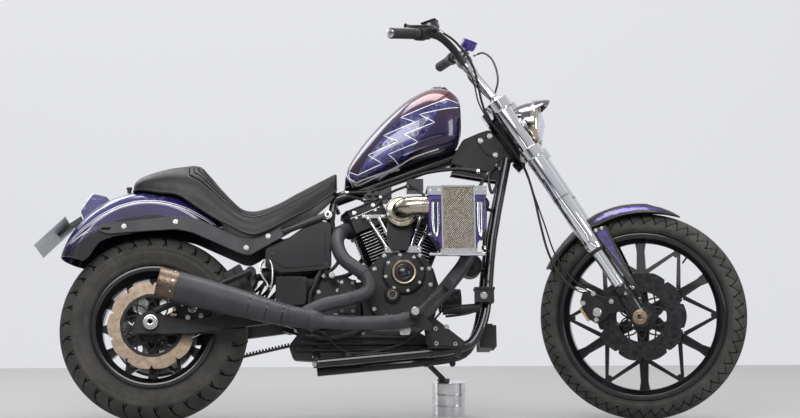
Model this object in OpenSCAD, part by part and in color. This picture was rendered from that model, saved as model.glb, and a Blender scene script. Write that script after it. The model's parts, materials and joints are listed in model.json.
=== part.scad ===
/* [Stance] */
// Lean to the left on the side stand, degrees
lean = 12; // [9:0.5:14]
// Turn of the steering to the right at rest, degrees
steer_rest = 17; // [0:1:25]
// Place of the rear axle behind the middle of the whole machine
origin_back = 789; // [700:1:900]
// Place of the contact line to the left of the middle of the whole machine
origin_side = 259; // [150:1:350]

/* [Wheels] */
// Distance between the axles with the steering straight
wheelbase = 1635; // [1560:5:1980]
// Outer radius of the front tyre
front_tyre_r = 345; // [330:1:352]
// Width of the front tyre
front_tyre_w = 120; // [95:1:124]
// Crown radius of the front tread
front_crown_r = 64; // [63:1:80]
// Radius of the front rim at the bead
front_bead_r = 267; // [250:1:275]
// Width of the front rim between the flanges
front_rim_w = 84; // [60:1:90]
// Outer radius of the rear tyre
rear_tyre_r = 311; // [300:1:316]
// Width of the rear tyre
rear_tyre_w = 165; // [140:1:168]
// Crown radius of the rear tread
rear_crown_r = 95; // [88:1:110]
// Radius of the rear rim at the bead
rear_bead_r = 191; // [170:1:205]
// Width of the rear rim between the flanges
rear_rim_w = 118; // [90:1:124]
// Radius of both axles
axle_r = 12.5; // [10:0.5:14]
// Radius of the bore through each axle
axle_bore_r = 8; // [5:0.5:8.5]
// Radius of the front brake disc
front_disc_r = 149; // [120:1:152]
// Radius of the rear brake disc
rear_disc_r = 146; // [120:1:150]
// Radius of the rear belt pulley
rear_pulley_r = 138; // [110:1:145]

/* [Steering] */
// Rake of the steering axis from the vertical, degrees
rake = 32; // [29:0.5:35]
// Distance of the fork legs ahead of the steering axis
fork_offset = 50; // [46:1:60]
// Distance of each fork leg from the middle
leg_side = 105; // [104:1:112]
// Radius of the polished upper fork tubes
fork_tube_r = 29; // [26:0.5:29.5]
// Radius of the chrome stanchions
stanchion_r = 20.5; // [18:0.5:23]
// Height of the fork tube tops above the axle, along the leg
fork_top = 870; // [862:1:900]
// Radius of the handlebar tube
bar_r = 12.7; // [11:0.1:14]
// Radius of the hand grips
grip_r = 18; // [16:0.5:20]
// Running clearance of shafts in their bores
shaft_gap = 0.05; // [0.02:0.01:0.1]

/* [Frame] */
// Radius of the frame's down tubes and lower rails
frame_tube_r = 16; // [13:0.5:17]
// Radius of the backbone tube
backbone_r = 22; // [18:0.5:24]
// Distance of each lower rail from the middle
rail_side = 121; // [114:1:128]
// Radius of the swingarm pivot
pivot_r = 20; // [15:0.5:22]
// Distance of the swingarm legs from the middle
swingarm_side = 139; // [138:0.5:146]

/* [Stand] */
// Radius of each disc under the side stand
disc_r = 57.5; // [45:0.5:70]
// Thickness of each disc under the side stand
disc_h = 38.4; // [34:0.1:40]
// Number of discs under the side stand
disc_count = 3; // [3:1:3]
// Radius of the side stand's leg
stand_r = 9; // [7:0.5:11]

/* [Hidden] */
$fn = 64;

// Gap between two pieces that are bolted or seated together
seat_gap = 0.2;
// Clearance that every moving piece keeps
move_gap = 5;
// Half width of the rear fender and the thickness of its sheet
fender_half = 98;
fender_sheet = 4;
// Centre and outer radius of the rear fender's arc
fender_x = -17;
fender_z = 470;
fender_r = 306;
fender_low = 150;
// Where the belt runs
belt_in = 93;
belt_w = 26;
belt_thick = 6;
front_pulley = [560, 350];
front_pulley_r = 52;
// Swingarm pivot and crankshaft in the side view
pivot = [450, 340];
crank = [815, 415];
cylinder_tilt = 22.5;
// Side stand pivot, at the left rail
stand_pivot = [868, rail_side + 38, 262];
stand_post = [868, rail_side + 3, 214];
// Direction of the stand's pivot pin, in the upright machine
stand_way = unit([0.3, -0.342, 0.888]);
stand_pin_r = 6;
stand_foot = [972, 200];

// Steering axis, in the upright machine
axis_up = [-sin(rake), 0, cos(rake)];
axis_out = [cos(rake), 0, sin(rake)];
steer_base = [wheelbase, 0, front_tyre_r] - fork_offset * axis_out;
clamp_low = 654;
clamp_high = 850;
clamp_h = 38;
head_low = clamp_low + clamp_h / 2 + 6;
head_high = clamp_high - clamp_h / 2 - 5;
head_r = 32;
stem_r = 15;
neck = steer_base + (head_low + head_high) / 2 * axis_up;

// Height of a wheel's lowest point when its axle leans: r and crown of the tyre, and the
// upward part of the axle's direction
function wheel_drop(r, crown, up) = (r - crown) * sqrt(1 - up * up) + crown;
rear_drop = wheel_drop(rear_tyre_r, rear_crown_r, sin(lean));
front_centre = steer_base + fork_offset * (cos(steer_rest) * axis_out - [0, sin(steer_rest), 0]);
front_up = -cos(steer_rest) * sin(lean) + sin(steer_rest) * sin(rake) * cos(lean);
front_drop = wheel_drop(front_tyre_r, front_crown_r, front_up);
rear_low = rear_tyre_r * cos(lean) - rear_drop;
front_low = front_centre[2] * cos(lean) - front_centre[1] * sin(lean) - front_drop;
pitch = asin((rear_low - front_low) / (front_centre[0] * cos(lean)));
floor_lift = -rear_tyre_r * cos(pitch) * cos(lean) + rear_drop;

// Places of a point of the upright machine on the floor, and back
function pitched(p) = [p[0] * cos(pitch) - p[2] * sin(pitch), p[1],
    p[0] * sin(pitch) + p[2] * cos(pitch)];
function leaned(p) = [p[0], p[1] * cos(lean) + p[2] * sin(lean),
    p[2] * cos(lean) - p[1] * sin(lean)];
function to_floor(p) = leaned(pitched(p)) + [0, 0, floor_lift];

module on_floor() {
    translate([-origin_back, -origin_side, 0]) children();
}

module upright() {
    on_floor() translate([0, 0, floor_lift]) rotate([-lean, 0, 0]) rotate([0, -pitch, 0])
        children();
}

// Frame of the steered pieces: X ahead of the axis, Y left, Z up along the axis
module steered() {
    upright() translate(steer_base) rotate([0, -rake, 0]) rotate([0, 0, -steer_rest])
        children();
}

// Frame of the front wheel: the axle along Y, Z up along the fork
module at_front_wheel() {
    steered() translate([fork_offset, 0, 0]) children();
}

module at_rear_wheel() {
    upright() translate([0, 0, rear_tyre_r]) children();
}

module both_sides() {
    children();
    mirror([0, 1, 0]) children();
}

// Cylinder along Y between two places
module across(r, y0, y1) {
    translate([0, y0, 0]) rotate([-90, 0, 0]) cylinder(r = r, h = y1 - y0);
}

// Cylinder between two points, with its seam turned about its own line
module bar(a, b, r, seam = 0) {
    d = b - a;
    translate(a) rotate([0, acos(d[2] / norm(d)), atan2(d[1], d[0])]) rotate([0, 0, seam])
        cylinder(r = r, h = norm(d));
}

// Outline in the side view, from one side place to the other
module plate(points, y0, y1) {
    translate([0, y1, 0]) rotate([90, 0, 0]) linear_extrude(y1 - y0) polygon(points);
}

function unit(v) = v / norm(v);
function blend4(a, b, c, d, t) = 0.5 * (2 * b + (c - a) * t + (2 * a - 5 * b + 4 * c - d) * t * t
    + (3 * b - a - 3 * c + d) * t * t * t);
// Smooth curve through the points p, with n steps between each two
function smooth(p, n) = concat(
    [for (i = [0:len(p) - 2], k = [0:n - 1])
        blend4(p[max(i - 1, 0)], p[i], p[i + 1], p[min(i + 2, len(p) - 1)], k / n)],
    [p[len(p) - 1]]);
function arc(x, y, r, a0, a1, n) = [for (i = [0:n])
    let (a = a0 + (a1 - a0) * i / n) [x + r * cos(a), y + r * sin(a)]];

// Closed skin over rings of as many points each
module loft(rings) {
    n = len(rings);
    m = len(rings[0]);
    polyhedron(points = [for (ring = rings, p = ring) p],
        faces = concat(
            [[for (k = [0:m - 1]) k]],
            [[for (k = [0:m - 1]) n * m - 1 - k]],
            [for (i = [0:n - 2], k = [0:m - 1])
                [i * m + k, (i + 1) * m + k, (i + 1) * m + (k + 1) % m]],
            [for (i = [0:n - 2], k = [0:m - 1])
                [i * m + k, (i + 1) * m + (k + 1) % m, i * m + (k + 1) % m]]));
}

// Round tube along a path, r may be one radius or one for each point
module tube(path, r, sides = 16, up = [0, 1, 0]) {
    last = len(path) - 1;
    loft([for (i = [0:last])
        let (t = unit(path[min(i + 1, last)] - path[max(i - 1, 0)]),
            a = unit(cross(up, t)), b = cross(t, a), q = is_list(r) ? r[i] : r)
        [for (k = [0:sides - 1])
            path[i] + q * (cos(360 * k / sides) * a + sin(360 * k / sides) * b)]]);
}

// Wheels

// Tyre section: crown arc, side walls, and the bead between the rim's flanges
module tyre(r, w, crown, bead_r, rim_w) {
    edge = asin(w / 2 / crown);
    wall_r = bead_r + 15;
    wall_half = rim_w / 2 + 5;
    half = concat(
        arc(r - crown, 0, crown, 0, edge, 9),
        [[(r - crown + crown * cos(edge) + wall_r) / 2, w / 2 - 1.5],
            [wall_r + 8, wall_half + 5], [wall_r, wall_half],
            [wall_r - 1, rim_w / 2 - 0.5], [bead_r + 0.3, rim_w / 2 - 0.5]]);
    last = len(half) - 1;
    rotate([90, 0, 0]) rotate_extrude($fn = 128)
        polygon(concat(half, [for (i = [0:last]) [half[last - i][0], -half[last - i][1]]]));
}

// Rim well and flanges
module rim(bead_r, rim_w) {
    half = [[bead_r - 22, 0], [bead_r - 22, rim_w / 2 - 14], [bead_r - 8, rim_w / 2],
        [bead_r - 6, rim_w / 2 + 6], [bead_r + 12, rim_w / 2 + 6], [bead_r + 13, rim_w / 2],
        [bead_r, rim_w / 2], [bead_r, rim_w / 2 - 12], [bead_r - 14, rim_w / 2 - 22],
        [bead_r - 14, 0]];
    last = len(half) - 1;
    rotate([90, 0, 0]) rotate_extrude($fn = 128)
        polygon(concat(half, [for (i = [0:last]) [half[last - i][0], -half[last - i][1]]]));
}

// Spoke in the side view, from one polar place to another, with its two widths
module spoke(r0, a0, r1, a1, w0, w1) {
    p0 = r0 * [cos(a0), sin(a0)];
    p1 = r1 * [cos(a1), sin(a1)];
    s = unit([p0[1] - p1[1], p1[0] - p0[0]]);
    polygon([p0 - s * w0 / 2, p1 - s * w1 / 2, p1 + s * w1 / 2, p0 + s * w0 / 2]);
}

module wheel_body(bead_r, rim_w, root_r, hub_half) {
    difference() {
        union() {
            rim(bead_r, rim_w);
            rotate([90, 0, 0]) translate([0, 0, -14]) linear_extrude(28) {
                circle(r = 52);
                for (k = [0:5]) {
                    spoke(45, 90 + 60 * k, bead_r - 16, 90 + 60 * k, 44, 27);
                    spoke(root_r, 90 + 60 * k - 6, bead_r - 16, 60 + 60 * k, 14, 9);
                    spoke(root_r, 30 + 60 * k + 6, bead_r - 16, 60 + 60 * k, 14, 9);
                }
            }
            across(36, -hub_half, hub_half);
        }
        across(axle_r + shaft_gap, -hub_half - 1, hub_half + 1);
    }
}

// Disc with a waved edge, and a spider from the ring to the hub
module brake_disc(r, inner, thick, hub_r) {
    rotate([90, 0, 0]) translate([0, 0, -thick / 2]) linear_extrude(thick) {
        difference() {
            polygon([for (i = [0:143]) let (a = 2.5 * i)
                (r - 2.5 + 2.5 * cos(10 * a)) * [cos(a), sin(a)]]);
            circle(r = inner);
            for (k = [0:9]) rotate(36 * k + 10) translate([(r + inner) / 2, 0]) circle(r = 6);
        }
        for (k = [0:4]) spoke(hub_r + 8, 72 * k, inner + 4, 72 * k + 24, 20, 15);
        difference() {
            circle(r = hub_r + 12);
            circle(r = hub_r);
        }
    }
}

rear_disc_y = -91;
front_disc_y = -62;

module rear_tyre() {
    color("#1b1b1c") at_rear_wheel()
        tyre(rear_tyre_r, rear_tyre_w, rear_crown_r, rear_bead_r, rear_rim_w);
}

module rear_wheel() {
    color("#101012") at_rear_wheel() wheel_body(rear_bead_r, rear_rim_w, 95, 118);
}

module rear_brake_disc() {
    color("#b49a80") at_rear_wheel() translate([0, rear_disc_y, 0])
        brake_disc(rear_disc_r, 103, 6, 36 + seat_gap);
}

module rear_pulley() {
    color("#161618") at_rear_wheel() rotate([90, 0, 0])
        translate([0, 0, -belt_in - belt_w]) linear_extrude(belt_w) difference() {
            circle(r = rear_pulley_r);
            circle(r = 36 + seat_gap);
            for (k = [0:4]) rotate(72 * k) translate([88, 0]) circle(r = 26);
        }
}

module front_tyre() {
    color("#1d1d1e") at_front_wheel() rotate([0, rake, 0])
        tyre(front_tyre_r, front_tyre_w, front_crown_r, front_bead_r, front_rim_w);
}

module front_wheel() {
    color("#101012") at_front_wheel() rotate([0, rake, 0])
        wheel_body(front_bead_r, front_rim_w, 150, 72);
}

module front_brake_disc() {
    color("#1c1c20") at_front_wheel() rotate([0, rake, 0]) translate([0, front_disc_y, 0])
        brake_disc(front_disc_r, 96, 5, 36 + seat_gap);
}

// Steering

lug_top = 115;
tube_bottom = 264;

module fork_clamps() {
    color("#c9cbce") steered() {
        for (t = [clamp_low, clamp_high]) difference() {
            translate([0, 0, t - clamp_h / 2]) linear_extrude(clamp_h) difference() {
                union() {
                    circle(r = 34);
                    polygon([[-30, -26], [fork_offset - 22, -leg_side], [fork_offset + 12, -leg_side],
                        [fork_offset - 12, -40], [fork_offset - 12, 40],
                        [fork_offset + 12, leg_side], [fork_offset - 22, leg_side],
                        [-30, 26]]);
                    for (s = [-1, 1]) translate([fork_offset, s * leg_side])
                        circle(r = fork_tube_r + 11);
                }
                for (s = [-1, 1]) translate([fork_offset, s * leg_side])
                    circle(r = fork_tube_r + seat_gap / 2);
            }
        }
        translate([0, 0, clamp_low]) cylinder(r = stem_r, h = clamp_high - clamp_low);
        translate([0, 0, clamp_high + clamp_h / 2]) cylinder(r = 22, h = 10);
    }
}

module fork_tubes() {
    color("#d6d8da") steered() for (s = [-1, 1]) translate([fork_offset, s * leg_side, 0]) {
        translate([0, 0, lug_top + seat_gap])
            cylinder(r = stanchion_r, h = tube_bottom - lug_top);
        translate([0, 0, tube_bottom]) cylinder(r = fork_tube_r, h = fork_top - tube_bottom);
        translate([0, 0, tube_bottom - 14]) cylinder(r = fork_tube_r - 3, h = 14.1);
        translate([0, 0, fork_top - 0.1]) cylinder(r = fork_tube_r - 4, h = 10);
    }
}

module fork_lugs() {
    color("#18181a") steered() for (s = [-1, 1]) difference() {
        translate([fork_offset, s * leg_side, 0]) union() {
            translate([0, 0, 28]) cylinder(r = 26, h = lug_top - 28);
            across(30, -24, 24);
            translate([-26, -24, 0]) cube([52, 48, 34]);
        }
        translate([fork_offset, 0, 0]) across(axle_r + shaft_gap, -200, 200);
    }
}

module front_axle() {
    end = leg_side + 24;
    color("#a59a80") at_front_wheel() difference() {
        union() {
            across(axle_r, -end - 8, end + 4);
            across(19, -end - 8, -end - seat_gap);
            across(19, end + seat_gap, end + 8);
            for (s = [-1, 1]) scale([1, s, 1]) across(17, 72 + 0.5, leg_side - 24 - 0.5);
        }
        across(axle_bore_r, -end - 10, end + 10);
    }
}

riser_foot = [44, 39, clamp_high + clamp_h / 2];
riser_top = [24, 34, 1057];
bar_route = [[-90, 450, 1190], [-60, 392, 1178], [-30, 333, 1165], [1, 272, 1152],
    [20, 230, 1132], [29, 180, 1096], [26, 110, 1066], [24, 60, 1057], [24, 0, 1057]];
bar_points = concat([for (p = bar_route) p],
    [for (i = [1:len(bar_route) - 1]) let (p = bar_route[len(bar_route) - 1 - i])
        [p[0], -p[1], p[2]]]);
// Unit direction of the left grip, outwards
grip_way = unit(bar_route[0] - bar_route[2]);
grip_start = bar_route[2];
grip_len = norm(bar_route[0] - bar_route[2]);

module bar_risers() {
    color("#cfd1d3") steered() both_sides() difference() {
        union() {
            translate(riser_foot + [0, 0, seat_gap]) cylinder(r = 18, h = 8);
            bar(riser_foot + [0, 0, 4], riser_top, 14, 45);
            translate(riser_top) across(22, -15, 15);
        }
        translate(riser_top) across(bar_r + seat_gap, -40, 40);
    }
}

module handlebar() {
    color("#232326") steered() tube(smooth(bar_points, 3), bar_r, 20, [1, 0, 0.2]);
}

// Places its children with Z along a grip, outwards, from the grip's inner end
module along_grip() {
    both_sides() translate(grip_start)
        rotate([0, acos(grip_way[2]), atan2(grip_way[1], grip_way[0])]) children();
}

module hand_grips() {
    color("#1a1a1b") steered() along_grip() difference() {
        union() {
            translate([0, 0, 6]) cylinder(r = grip_r, h = grip_len);
            cylinder(r = grip_r + 4, h = 8);
            translate([0, 0, grip_len + 2]) cylinder(r = grip_r - 1, h = 12);
        }
        translate([0, 0, -1]) cylinder(r = bar_r + 0.8, h = grip_len + 2.5);
    }
}

module hand_controls() {
    lever = smooth([[34, 0, -52], [50, 0, -30], [56, 0, 20], [52, 0, 80], [60, 0, 128]], 3);
    color("#1c1c1e") steered() along_grip() {
        difference() {
            union() {
                translate([0, 0, -32]) cylinder(r = 24, h = 28);
                translate([0, 0, -58]) cylinder(r = 19, h = 22);
                translate([10, -14, -58]) cube([30, 28, 24]);
            }
            translate([0, 0, -80]) cylinder(r = bar_r + 0.8, h = 90);
        }
        tube(lever, 5.5, 10, [0, 1, 0]);
    }
    color("#1c1c1e") steered() translate([14, -262, 1167]) rotate([0, 16, 0])
        translate([-24, -32, 0]) cube([48, 64, 26]);
}

module gauge_pod() {
    color("#4b2d6e") steered() {
        translate([60, -76, 1078]) rotate([0, 55, 0]) cylinder(r = 26, h = 34);
        bar([36, -76, 1064], [66, -76, 1082], 6);
    }
}

light_u = 104;
light_w = 741;

// Places its children with X straight ahead of the machine, at the lens
module at_headlight() {
    steered() translate([light_u, 0, light_w]) rotate([0, rake, 0]) children();
}

module headlight_shell() {
    color("#c6bfae") at_headlight() difference() {
        rotate([0, 90, 0]) rotate_extrude() polygon([[0, -58], [30, -56], [52, -44], [66, -22],
            [68, -6], [84, -4], [86, 8], [82, 16], [66, 16], [66, 2], [62, -4], [48, -36],
            [28, -48], [0, -50]]);
        translate([-100, -100, -100]) cube([60, 200, 60]);
    }
    color("#c6bfae") steered() translate([fork_offset - 12 + seat_gap, -18, clamp_low - 12])
        cube([24, 36, 30]);
    color("#c6bfae") at_headlight() rotate([0, 90, 0]) difference() {
        translate([0, 0, 8]) cylinder(r = 88, h = 46);
        translate([0, 0, 7]) cylinder(r = 84.5, h = 60);
        translate([-40, -100, 0]) cube([200, 200, 80]);
    }
}

module headlight_lens() {
    color("#d8dde2") at_headlight() rotate([0, 90, 0])
        translate([0, 0, 4]) cylinder(r = 65.5, h = 9);
}

front_fender_in = front_tyre_r + 14;

module front_fender() {
    half = 70;
    color("#3a2a80") at_front_wheel() rotate([0, rake, 0]) rotate([90, 0, 0])
        rotate([0, 0, 74]) rotate_extrude(angle = 80, $fn = 96) difference() {
            polygon([[front_fender_in - 48, -half], [front_fender_in - 10, -half],
                [front_fender_in + 12, -half + 22], [front_fender_in + 20, 0],
                [front_fender_in + 12, half - 22], [front_fender_in - 10, half],
                [front_fender_in - 48, half]]);
            polygon([[front_fender_in - 60, -half + 3], [front_fender_in - 11, -half + 3],
                [front_fender_in + 9, -half + 24], [front_fender_in + 16, 0],
                [front_fender_in + 9, half - 24], [front_fender_in - 11, half - 3],
                [front_fender_in - 60, half - 3]]);
        }
}

module fender_stays() {
    color("#2c2450") steered() both_sides() {
        plate([[fork_offset + 2, 72], [fork_offset + 28, 58], [fork_offset + 78, 318],
            [fork_offset + 22, 330]], 70 + seat_gap, 75);
        translate([fork_offset + 10, 0, 72]) across(7, 74, leg_side - 25);
    }
}

module front_caliper() {
    color("#161618") steered() translate([0, -leg_side + 22, 0]) {
        difference() {
            plate([[-85, 60], [-98, 90], [-92, 150], [-62, 176], [-34, 150], [-38, 96], [-52, 66]],
                -20, 43);
            translate([fork_offset, leg_side - 22, 0])
                across(front_disc_r + move_gap, front_disc_y - move_gap, front_disc_y + move_gap);
        }
        plate([[-40, 70], [26, 40], [26, 104], [-36, 140]], -20, -4);
    }
}

module control_cables() {
    hose = [[40, -215, 1130], [75, -160, 1060], [104, -122, 940], [112, -116, 800],
        [104, -118, 690], [92, -150, 600], [30, -160, 420], [-40, -150, 300],
        [-66, -120, 215], [-62, -95, 178]];
    cable = [[52, 300, 1118], [84, 262, 1104], [114, 200, 1060], [112, 140, 990],
        [84, 84, 920], [50.2, 62, 862]];
    color("#19191a") steered() {
        tube(smooth(hose, 3), 4, 8, [0.3, 1, 0]);
        tube(smooth(cable, 3), 3.5, 8, [0, 1, 0.3]);
    }
}

// Frame

seat_joint = [604, 0, 748];
cradle_points = [[540, rail_side - 2, 181], [720, rail_side, 197], [900, rail_side + 1, 213],
    [1000, rail_side + 1, 226], [1052, rail_side - 1, 252], [1086, rail_side - 6, 320],
    [1102, rail_side - 14, 400]];
downtube_top = neck + [-8, 34, -74];

module frame_neck() {
    color("#141416") upright() {
        difference() {
            union() {
                bar(steer_base + head_low * axis_up, steer_base + head_high * axis_up, head_r);
                bar(seat_joint, neck + [-20, 0, 0], backbone_r);
                both_sides() plate([[neck[0] - 200, neck[2] - 122], [neck[0] - 30, neck[2] - 150],
                    [neck[0] + 16, neck[2] - 60], [neck[0] - 24, neck[2] + 20],
                    [neck[0] - 130, neck[2] - 18]], 20, 29);
            }
            bar(steer_base + (head_low - 5) * axis_up, steer_base + (head_high + 5) * axis_up,
                stem_r + shaft_gap);
        }
        both_sides() bar(neck + [-34, 29, -40], neck + [-34, 36, -40], 9);
    }
}

module frame_downtubes() {
    color("#151517") upright() both_sides()
        tube(smooth([cradle_points[6], [1126, 70, 600], downtube_top], 3), frame_tube_r, 20);
}

module frame_rails() {
    color("#151517") upright() {
        both_sides() tube(smooth(cradle_points, 3), frame_tube_r, 20);
        bar(stand_post, stand_post + [0, 0, 68], 7);
        bar(stand_post + [0, 0, 66], stand_pivot + 16 * stand_way, 6);
    }
    color("#151517") at_stand_pivot() {
        translate([0, 0, 11.5]) cylinder(r = 16, h = 8);
        translate([0, 0, -9]) cylinder(r = stand_pin_r, h = 25);
    }
}

module frame_uprights() {
    color("#151517") upright() {
        both_sides() {
            tube(smooth([[540, 100, 194], [528, 84, 250], [514, 78, 310], [516, 78, 410],
                [560, 80, 510], [584, 76, 650], [594, 50, 715], [602, 22, 742]], 2), 12, 16);
            difference() {
                plate([[425, 312], [425, 368], [500, 396], [526, 392], [526, 298], [500, 290]],
                    66, 74);
                translate([pivot[0], 0, pivot[1]]) across(pivot_r + shaft_gap, 0, 100);
            }
        }
        translate([536, 0, 206]) across(14, -90, 90);
    }
}

// Rear suspension

axle_plate_z = rear_tyre_r - 14;
apex = [322, 482];

module swingarm_lower() {
    color("#161618") upright() difference() {
        union() {
            both_sides() {
                plate([[-52, axle_plate_z - 20], [-58, axle_plate_z + 6], [-40, axle_plate_z + 40],
                    [30, axle_plate_z + 42], [120, axle_plate_z + 22],
                    [pivot[0] - 20, pivot[1] + 26], [pivot[0] + 16, pivot[1] + 22],
                    [pivot[0] + 16, pivot[1] - 22], [pivot[0] - 30, pivot[1] - 28],
                    [140, axle_plate_z - 20]], swingarm_side - 11, swingarm_side + 11);
            }
            translate([pivot[0], 0, pivot[1]]) across(pivot_r, -swingarm_side, swingarm_side);
        }
        translate([0, 0, rear_tyre_r]) across(axle_r + shaft_gap, -200, 200);
    }
}

module swingarm_upper() {
    color("#161618") upright() {
        both_sides() bar([12, swingarm_side - 1, axle_plate_z + 54],
            [apex[0], swingarm_side - 1, apex[1]], 11);
        translate([apex[0], 0, apex[1]]) across(17, -swingarm_side + 8, swingarm_side - 8);
    }
}

shock_end = [556, 0, 506];
shock_start = [apex[0], 0, apex[1]] + 16 * unit(shock_end - [apex[0], 0, apex[1]]);

module shock_absorber() {
    way = unit(shock_end - shock_start);
    color("#2a2a2d") upright() {
        bar(shock_start, shock_start + 70 * way, 12);
        bar(shock_start + 20 * way, shock_start + 150 * way, 30);
        bar(shock_start + 145 * way, shock_end, 14);
        translate(shock_end) across(10, -67.8, 67.8);
    }
}

module rear_axle() {
    end = swingarm_side + 11;
    color("#9a9280") at_rear_wheel() difference() {
        union() {
            across(axle_r, -end - 14, end + 8);
            across(20, -end - 14, -end - seat_gap);
            across(20, end + seat_gap, end + 8);
            for (s = [-1, 1]) scale([1, s, 1]) across(17, 118.5, swingarm_side - 11.5);
        }
        across(axle_bore_r, -end - 20, end + 20);
    }
}

module rear_caliper() {
    color("#141416") upright() {
        difference() {
            plate([[96, 330], [100, 378], [136, 408], [176, 392], [184, 342], [150, 322]],
                -120, -70);
            translate([0, 0, rear_tyre_r])
                across(rear_disc_r + move_gap, rear_disc_y - move_gap, rear_disc_y + move_gap);
        }
        plate([[118, axle_plate_z + 4], [170, axle_plate_z + 8], [170, axle_plate_z + 60],
            [118, axle_plate_z + 60]], -swingarm_side + 11 + seat_gap, -119.5);
    }
}

// Engine

case_half = 76;

module case_block() {
    plate([[694, 330], [684, 430], [706, 500], [760, 548], [876, 548], [926, 498],
        [946, 430], [930, 340], [890, 306], [736, 306]], -case_half, case_half);
}

module crankcase() {
    color("#1a1a1c") upright() case_block();
}

// Places its children with Z up a cylinder's bore, from the crankshaft
module along_bore(tilt) {
    upright() translate([crank[0], 0, crank[1]]) rotate([0, tilt, 0]) children();
}

// Barrel, fins and head on one side of the crankshaft, seated on the case
module finned_cylinder(tilt) {
    difference() {
        along_bore(tilt) {
            translate([0, 0, 110]) cylinder(r = 58, h = 134);
            for (k = [0:9]) translate([0, 0, 132 + 10.5 * k]) linear_extrude(4)
                polygon([[-62, -50], [-44, -70], [44, -70], [62, -50], [62, 50], [44, 70],
                    [-44, 70], [-62, 50]]);
            translate([-58, -66, 243]) cube([116, 132, 46]);
        }
        upright() {
            case_block();
            translate([crank[0] - (tilt > 0 ? 399 : 1), -100, 300]) cube([400, 200, 400]);
        }
    }
}

module rear_cylinder() {
    color("#202022") finned_cylinder(-cylinder_tilt);
}

module front_cylinder() {
    color("#202022") finned_cylinder(cylinder_tilt);
}

module rocker_covers() {
    color("#141416") for (s = [-1, 1]) along_bore(s * cylinder_tilt) {
        translate([0, 0, 289 + seat_gap]) rotate([90, 0, 0]) translate([0, 0, -74])
            linear_extrude(148) polygon([[-70, 0], [70, 0], [70, 34], [52, 60], [-52, 60],
                [-70, 34]]);
    }
}

module pushrod_tubes() {
    color("#cfcfcd") upright() {
        for (s = [-1, 1]) {
            foot = [crank[0] + 9 + s * 36, -93, 566];
            head = [crank[0] + s * 86, -82, 670];
            for (k = [-1, 1]) bar(foot + [12 * k, 0, -5], head + [20 * k + s * 3, 0, 3], 6.8, 45);
            translate(foot + [-24, -14, -17.8]) cube([48, 28, 22]);
            translate(head + [-40, -9, -3]) cube([80, 24, 13]);
        }
    }
}

module cam_cover() {
    color("#191a1c") upright() {
        plate([[716, 350], [708, 440], [718, 500], [756, 548], [886, 548], [920, 500],
            [926, 440], [912, 350], [860, 322], [760, 322]], -112, -case_half - seat_gap);
        translate([825, 0, 477]) across(70, -134, -111);
        translate([825, 0, 477]) across(44, -140, -133);
        translate([786, 0, 404]) across(24, -134, -111);
    }
}

module primary_cover() {
    color("#18181a") upright() difference() {
        translate([0, 170, 0]) rotate([90, 0, 0]) linear_extrude(46) hull() {
            translate([crank[0] + 5, crank[1]]) circle(r = 88, $fn = 48);
            translate([front_pulley[0] + 20, front_pulley[1] + 20]) circle(r = 106, $fn = 48);
        }
        translate([0, 0, 0]) plate([[400, 230], [400, 292], [1000, 292], [1000, 230]], 100, 200);
    }
    color("#18181a") upright() plate([[690, 330], [690, 470], [900, 470], [900, 330]],
        case_half + seat_gap, 124);
}

module transmission() {
    color("#1a1a1c") upright() {
        plate([[484, 410], [500, 468], [640, 474], [683, 450], [683, 330], [600, 322],
            [484, 322]], -64, 64);
        translate([front_pulley[0], 0, front_pulley[1]]) across(24, 63, 123.5);
        translate([front_pulley[0], 0, front_pulley[1]])
            across(front_pulley_r, belt_in + 1, belt_in + belt_w - 1);
        plate([[610, 340], [610, 460], [668, 456], [668, 340]], -110, -63);
    }
}

module intake_elbow() {
    color("#c8c6c0") upright() {
        translate([819, 0, 680]) across(44, -152, -146);
        tube(smooth([[819, -147, 680], [819, -176, 680], [838, -200, 682], [870, -206, 684],
            [904, -206, 684]], 3), 33, 24, [0, 0, 1]);
        tube(smooth([[819, -147, 680], [819, -110, 670], [815, -60, 650], [815, 0, 640]], 3),
            26, 20, [0, 0, 1]);
    }
}

module air_cleaner() {
    color("#46319a") upright() difference() {
        plate([[902, 596], [902, 722], [914, 740], [1076, 740], [1088, 722], [1088, 600],
            [1050, 528], [944, 528]], -250, -152);
        plate([[947, 500], [947, 760], [1049, 760], [1049, 500]], -300, -160);
    }
}

module air_filter() {
    color("#9d978a") upright() {
        plate([[947 + seat_gap, 516], [947 + seat_gap, 742], [1049 - seat_gap, 742],
            [1049 - seat_gap, 516]], -252, -160 - seat_gap);
        bar([940, -236, 521], [1056, -236, 521], 5);
    }
}

front_pipe = [[971, -40, 638], [1006, -56, 634], [1044, -104, 600], [1044, -122, 548],
    [1022, -132, 500], [982, -168, 446], [930, -194, 382], [884, -205, 334], [824, -207, 308],
    [760, -206, 300], [680, -206, 298], [600, -208, 300], [520, -214, 308], [432, -232, 322]];
rear_pipe = [[659, -40, 638], [632, -62, 632], [612, -114, 606], [606, -150, 564], [628, -176, 512],
    [690, -190, 462], [708, -196, 424], [690, -200, 394], [630, -204, 374], [560, -208, 358],
    [500, -214, 330]];

module exhaust_pipes() {
    color("#3a3c40") upright() {
        tube(smooth(front_pipe, 3), 24, 20, [0, 1, 0.2]);
        tube(smooth(rear_pipe, 3), 23, 20, [0.1, 1, 0.4]);
        tube(smooth([[530, -212, 308], [480, -222, 315], [432, -232, 322]], 2), 33, 20);
    }
}

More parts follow.
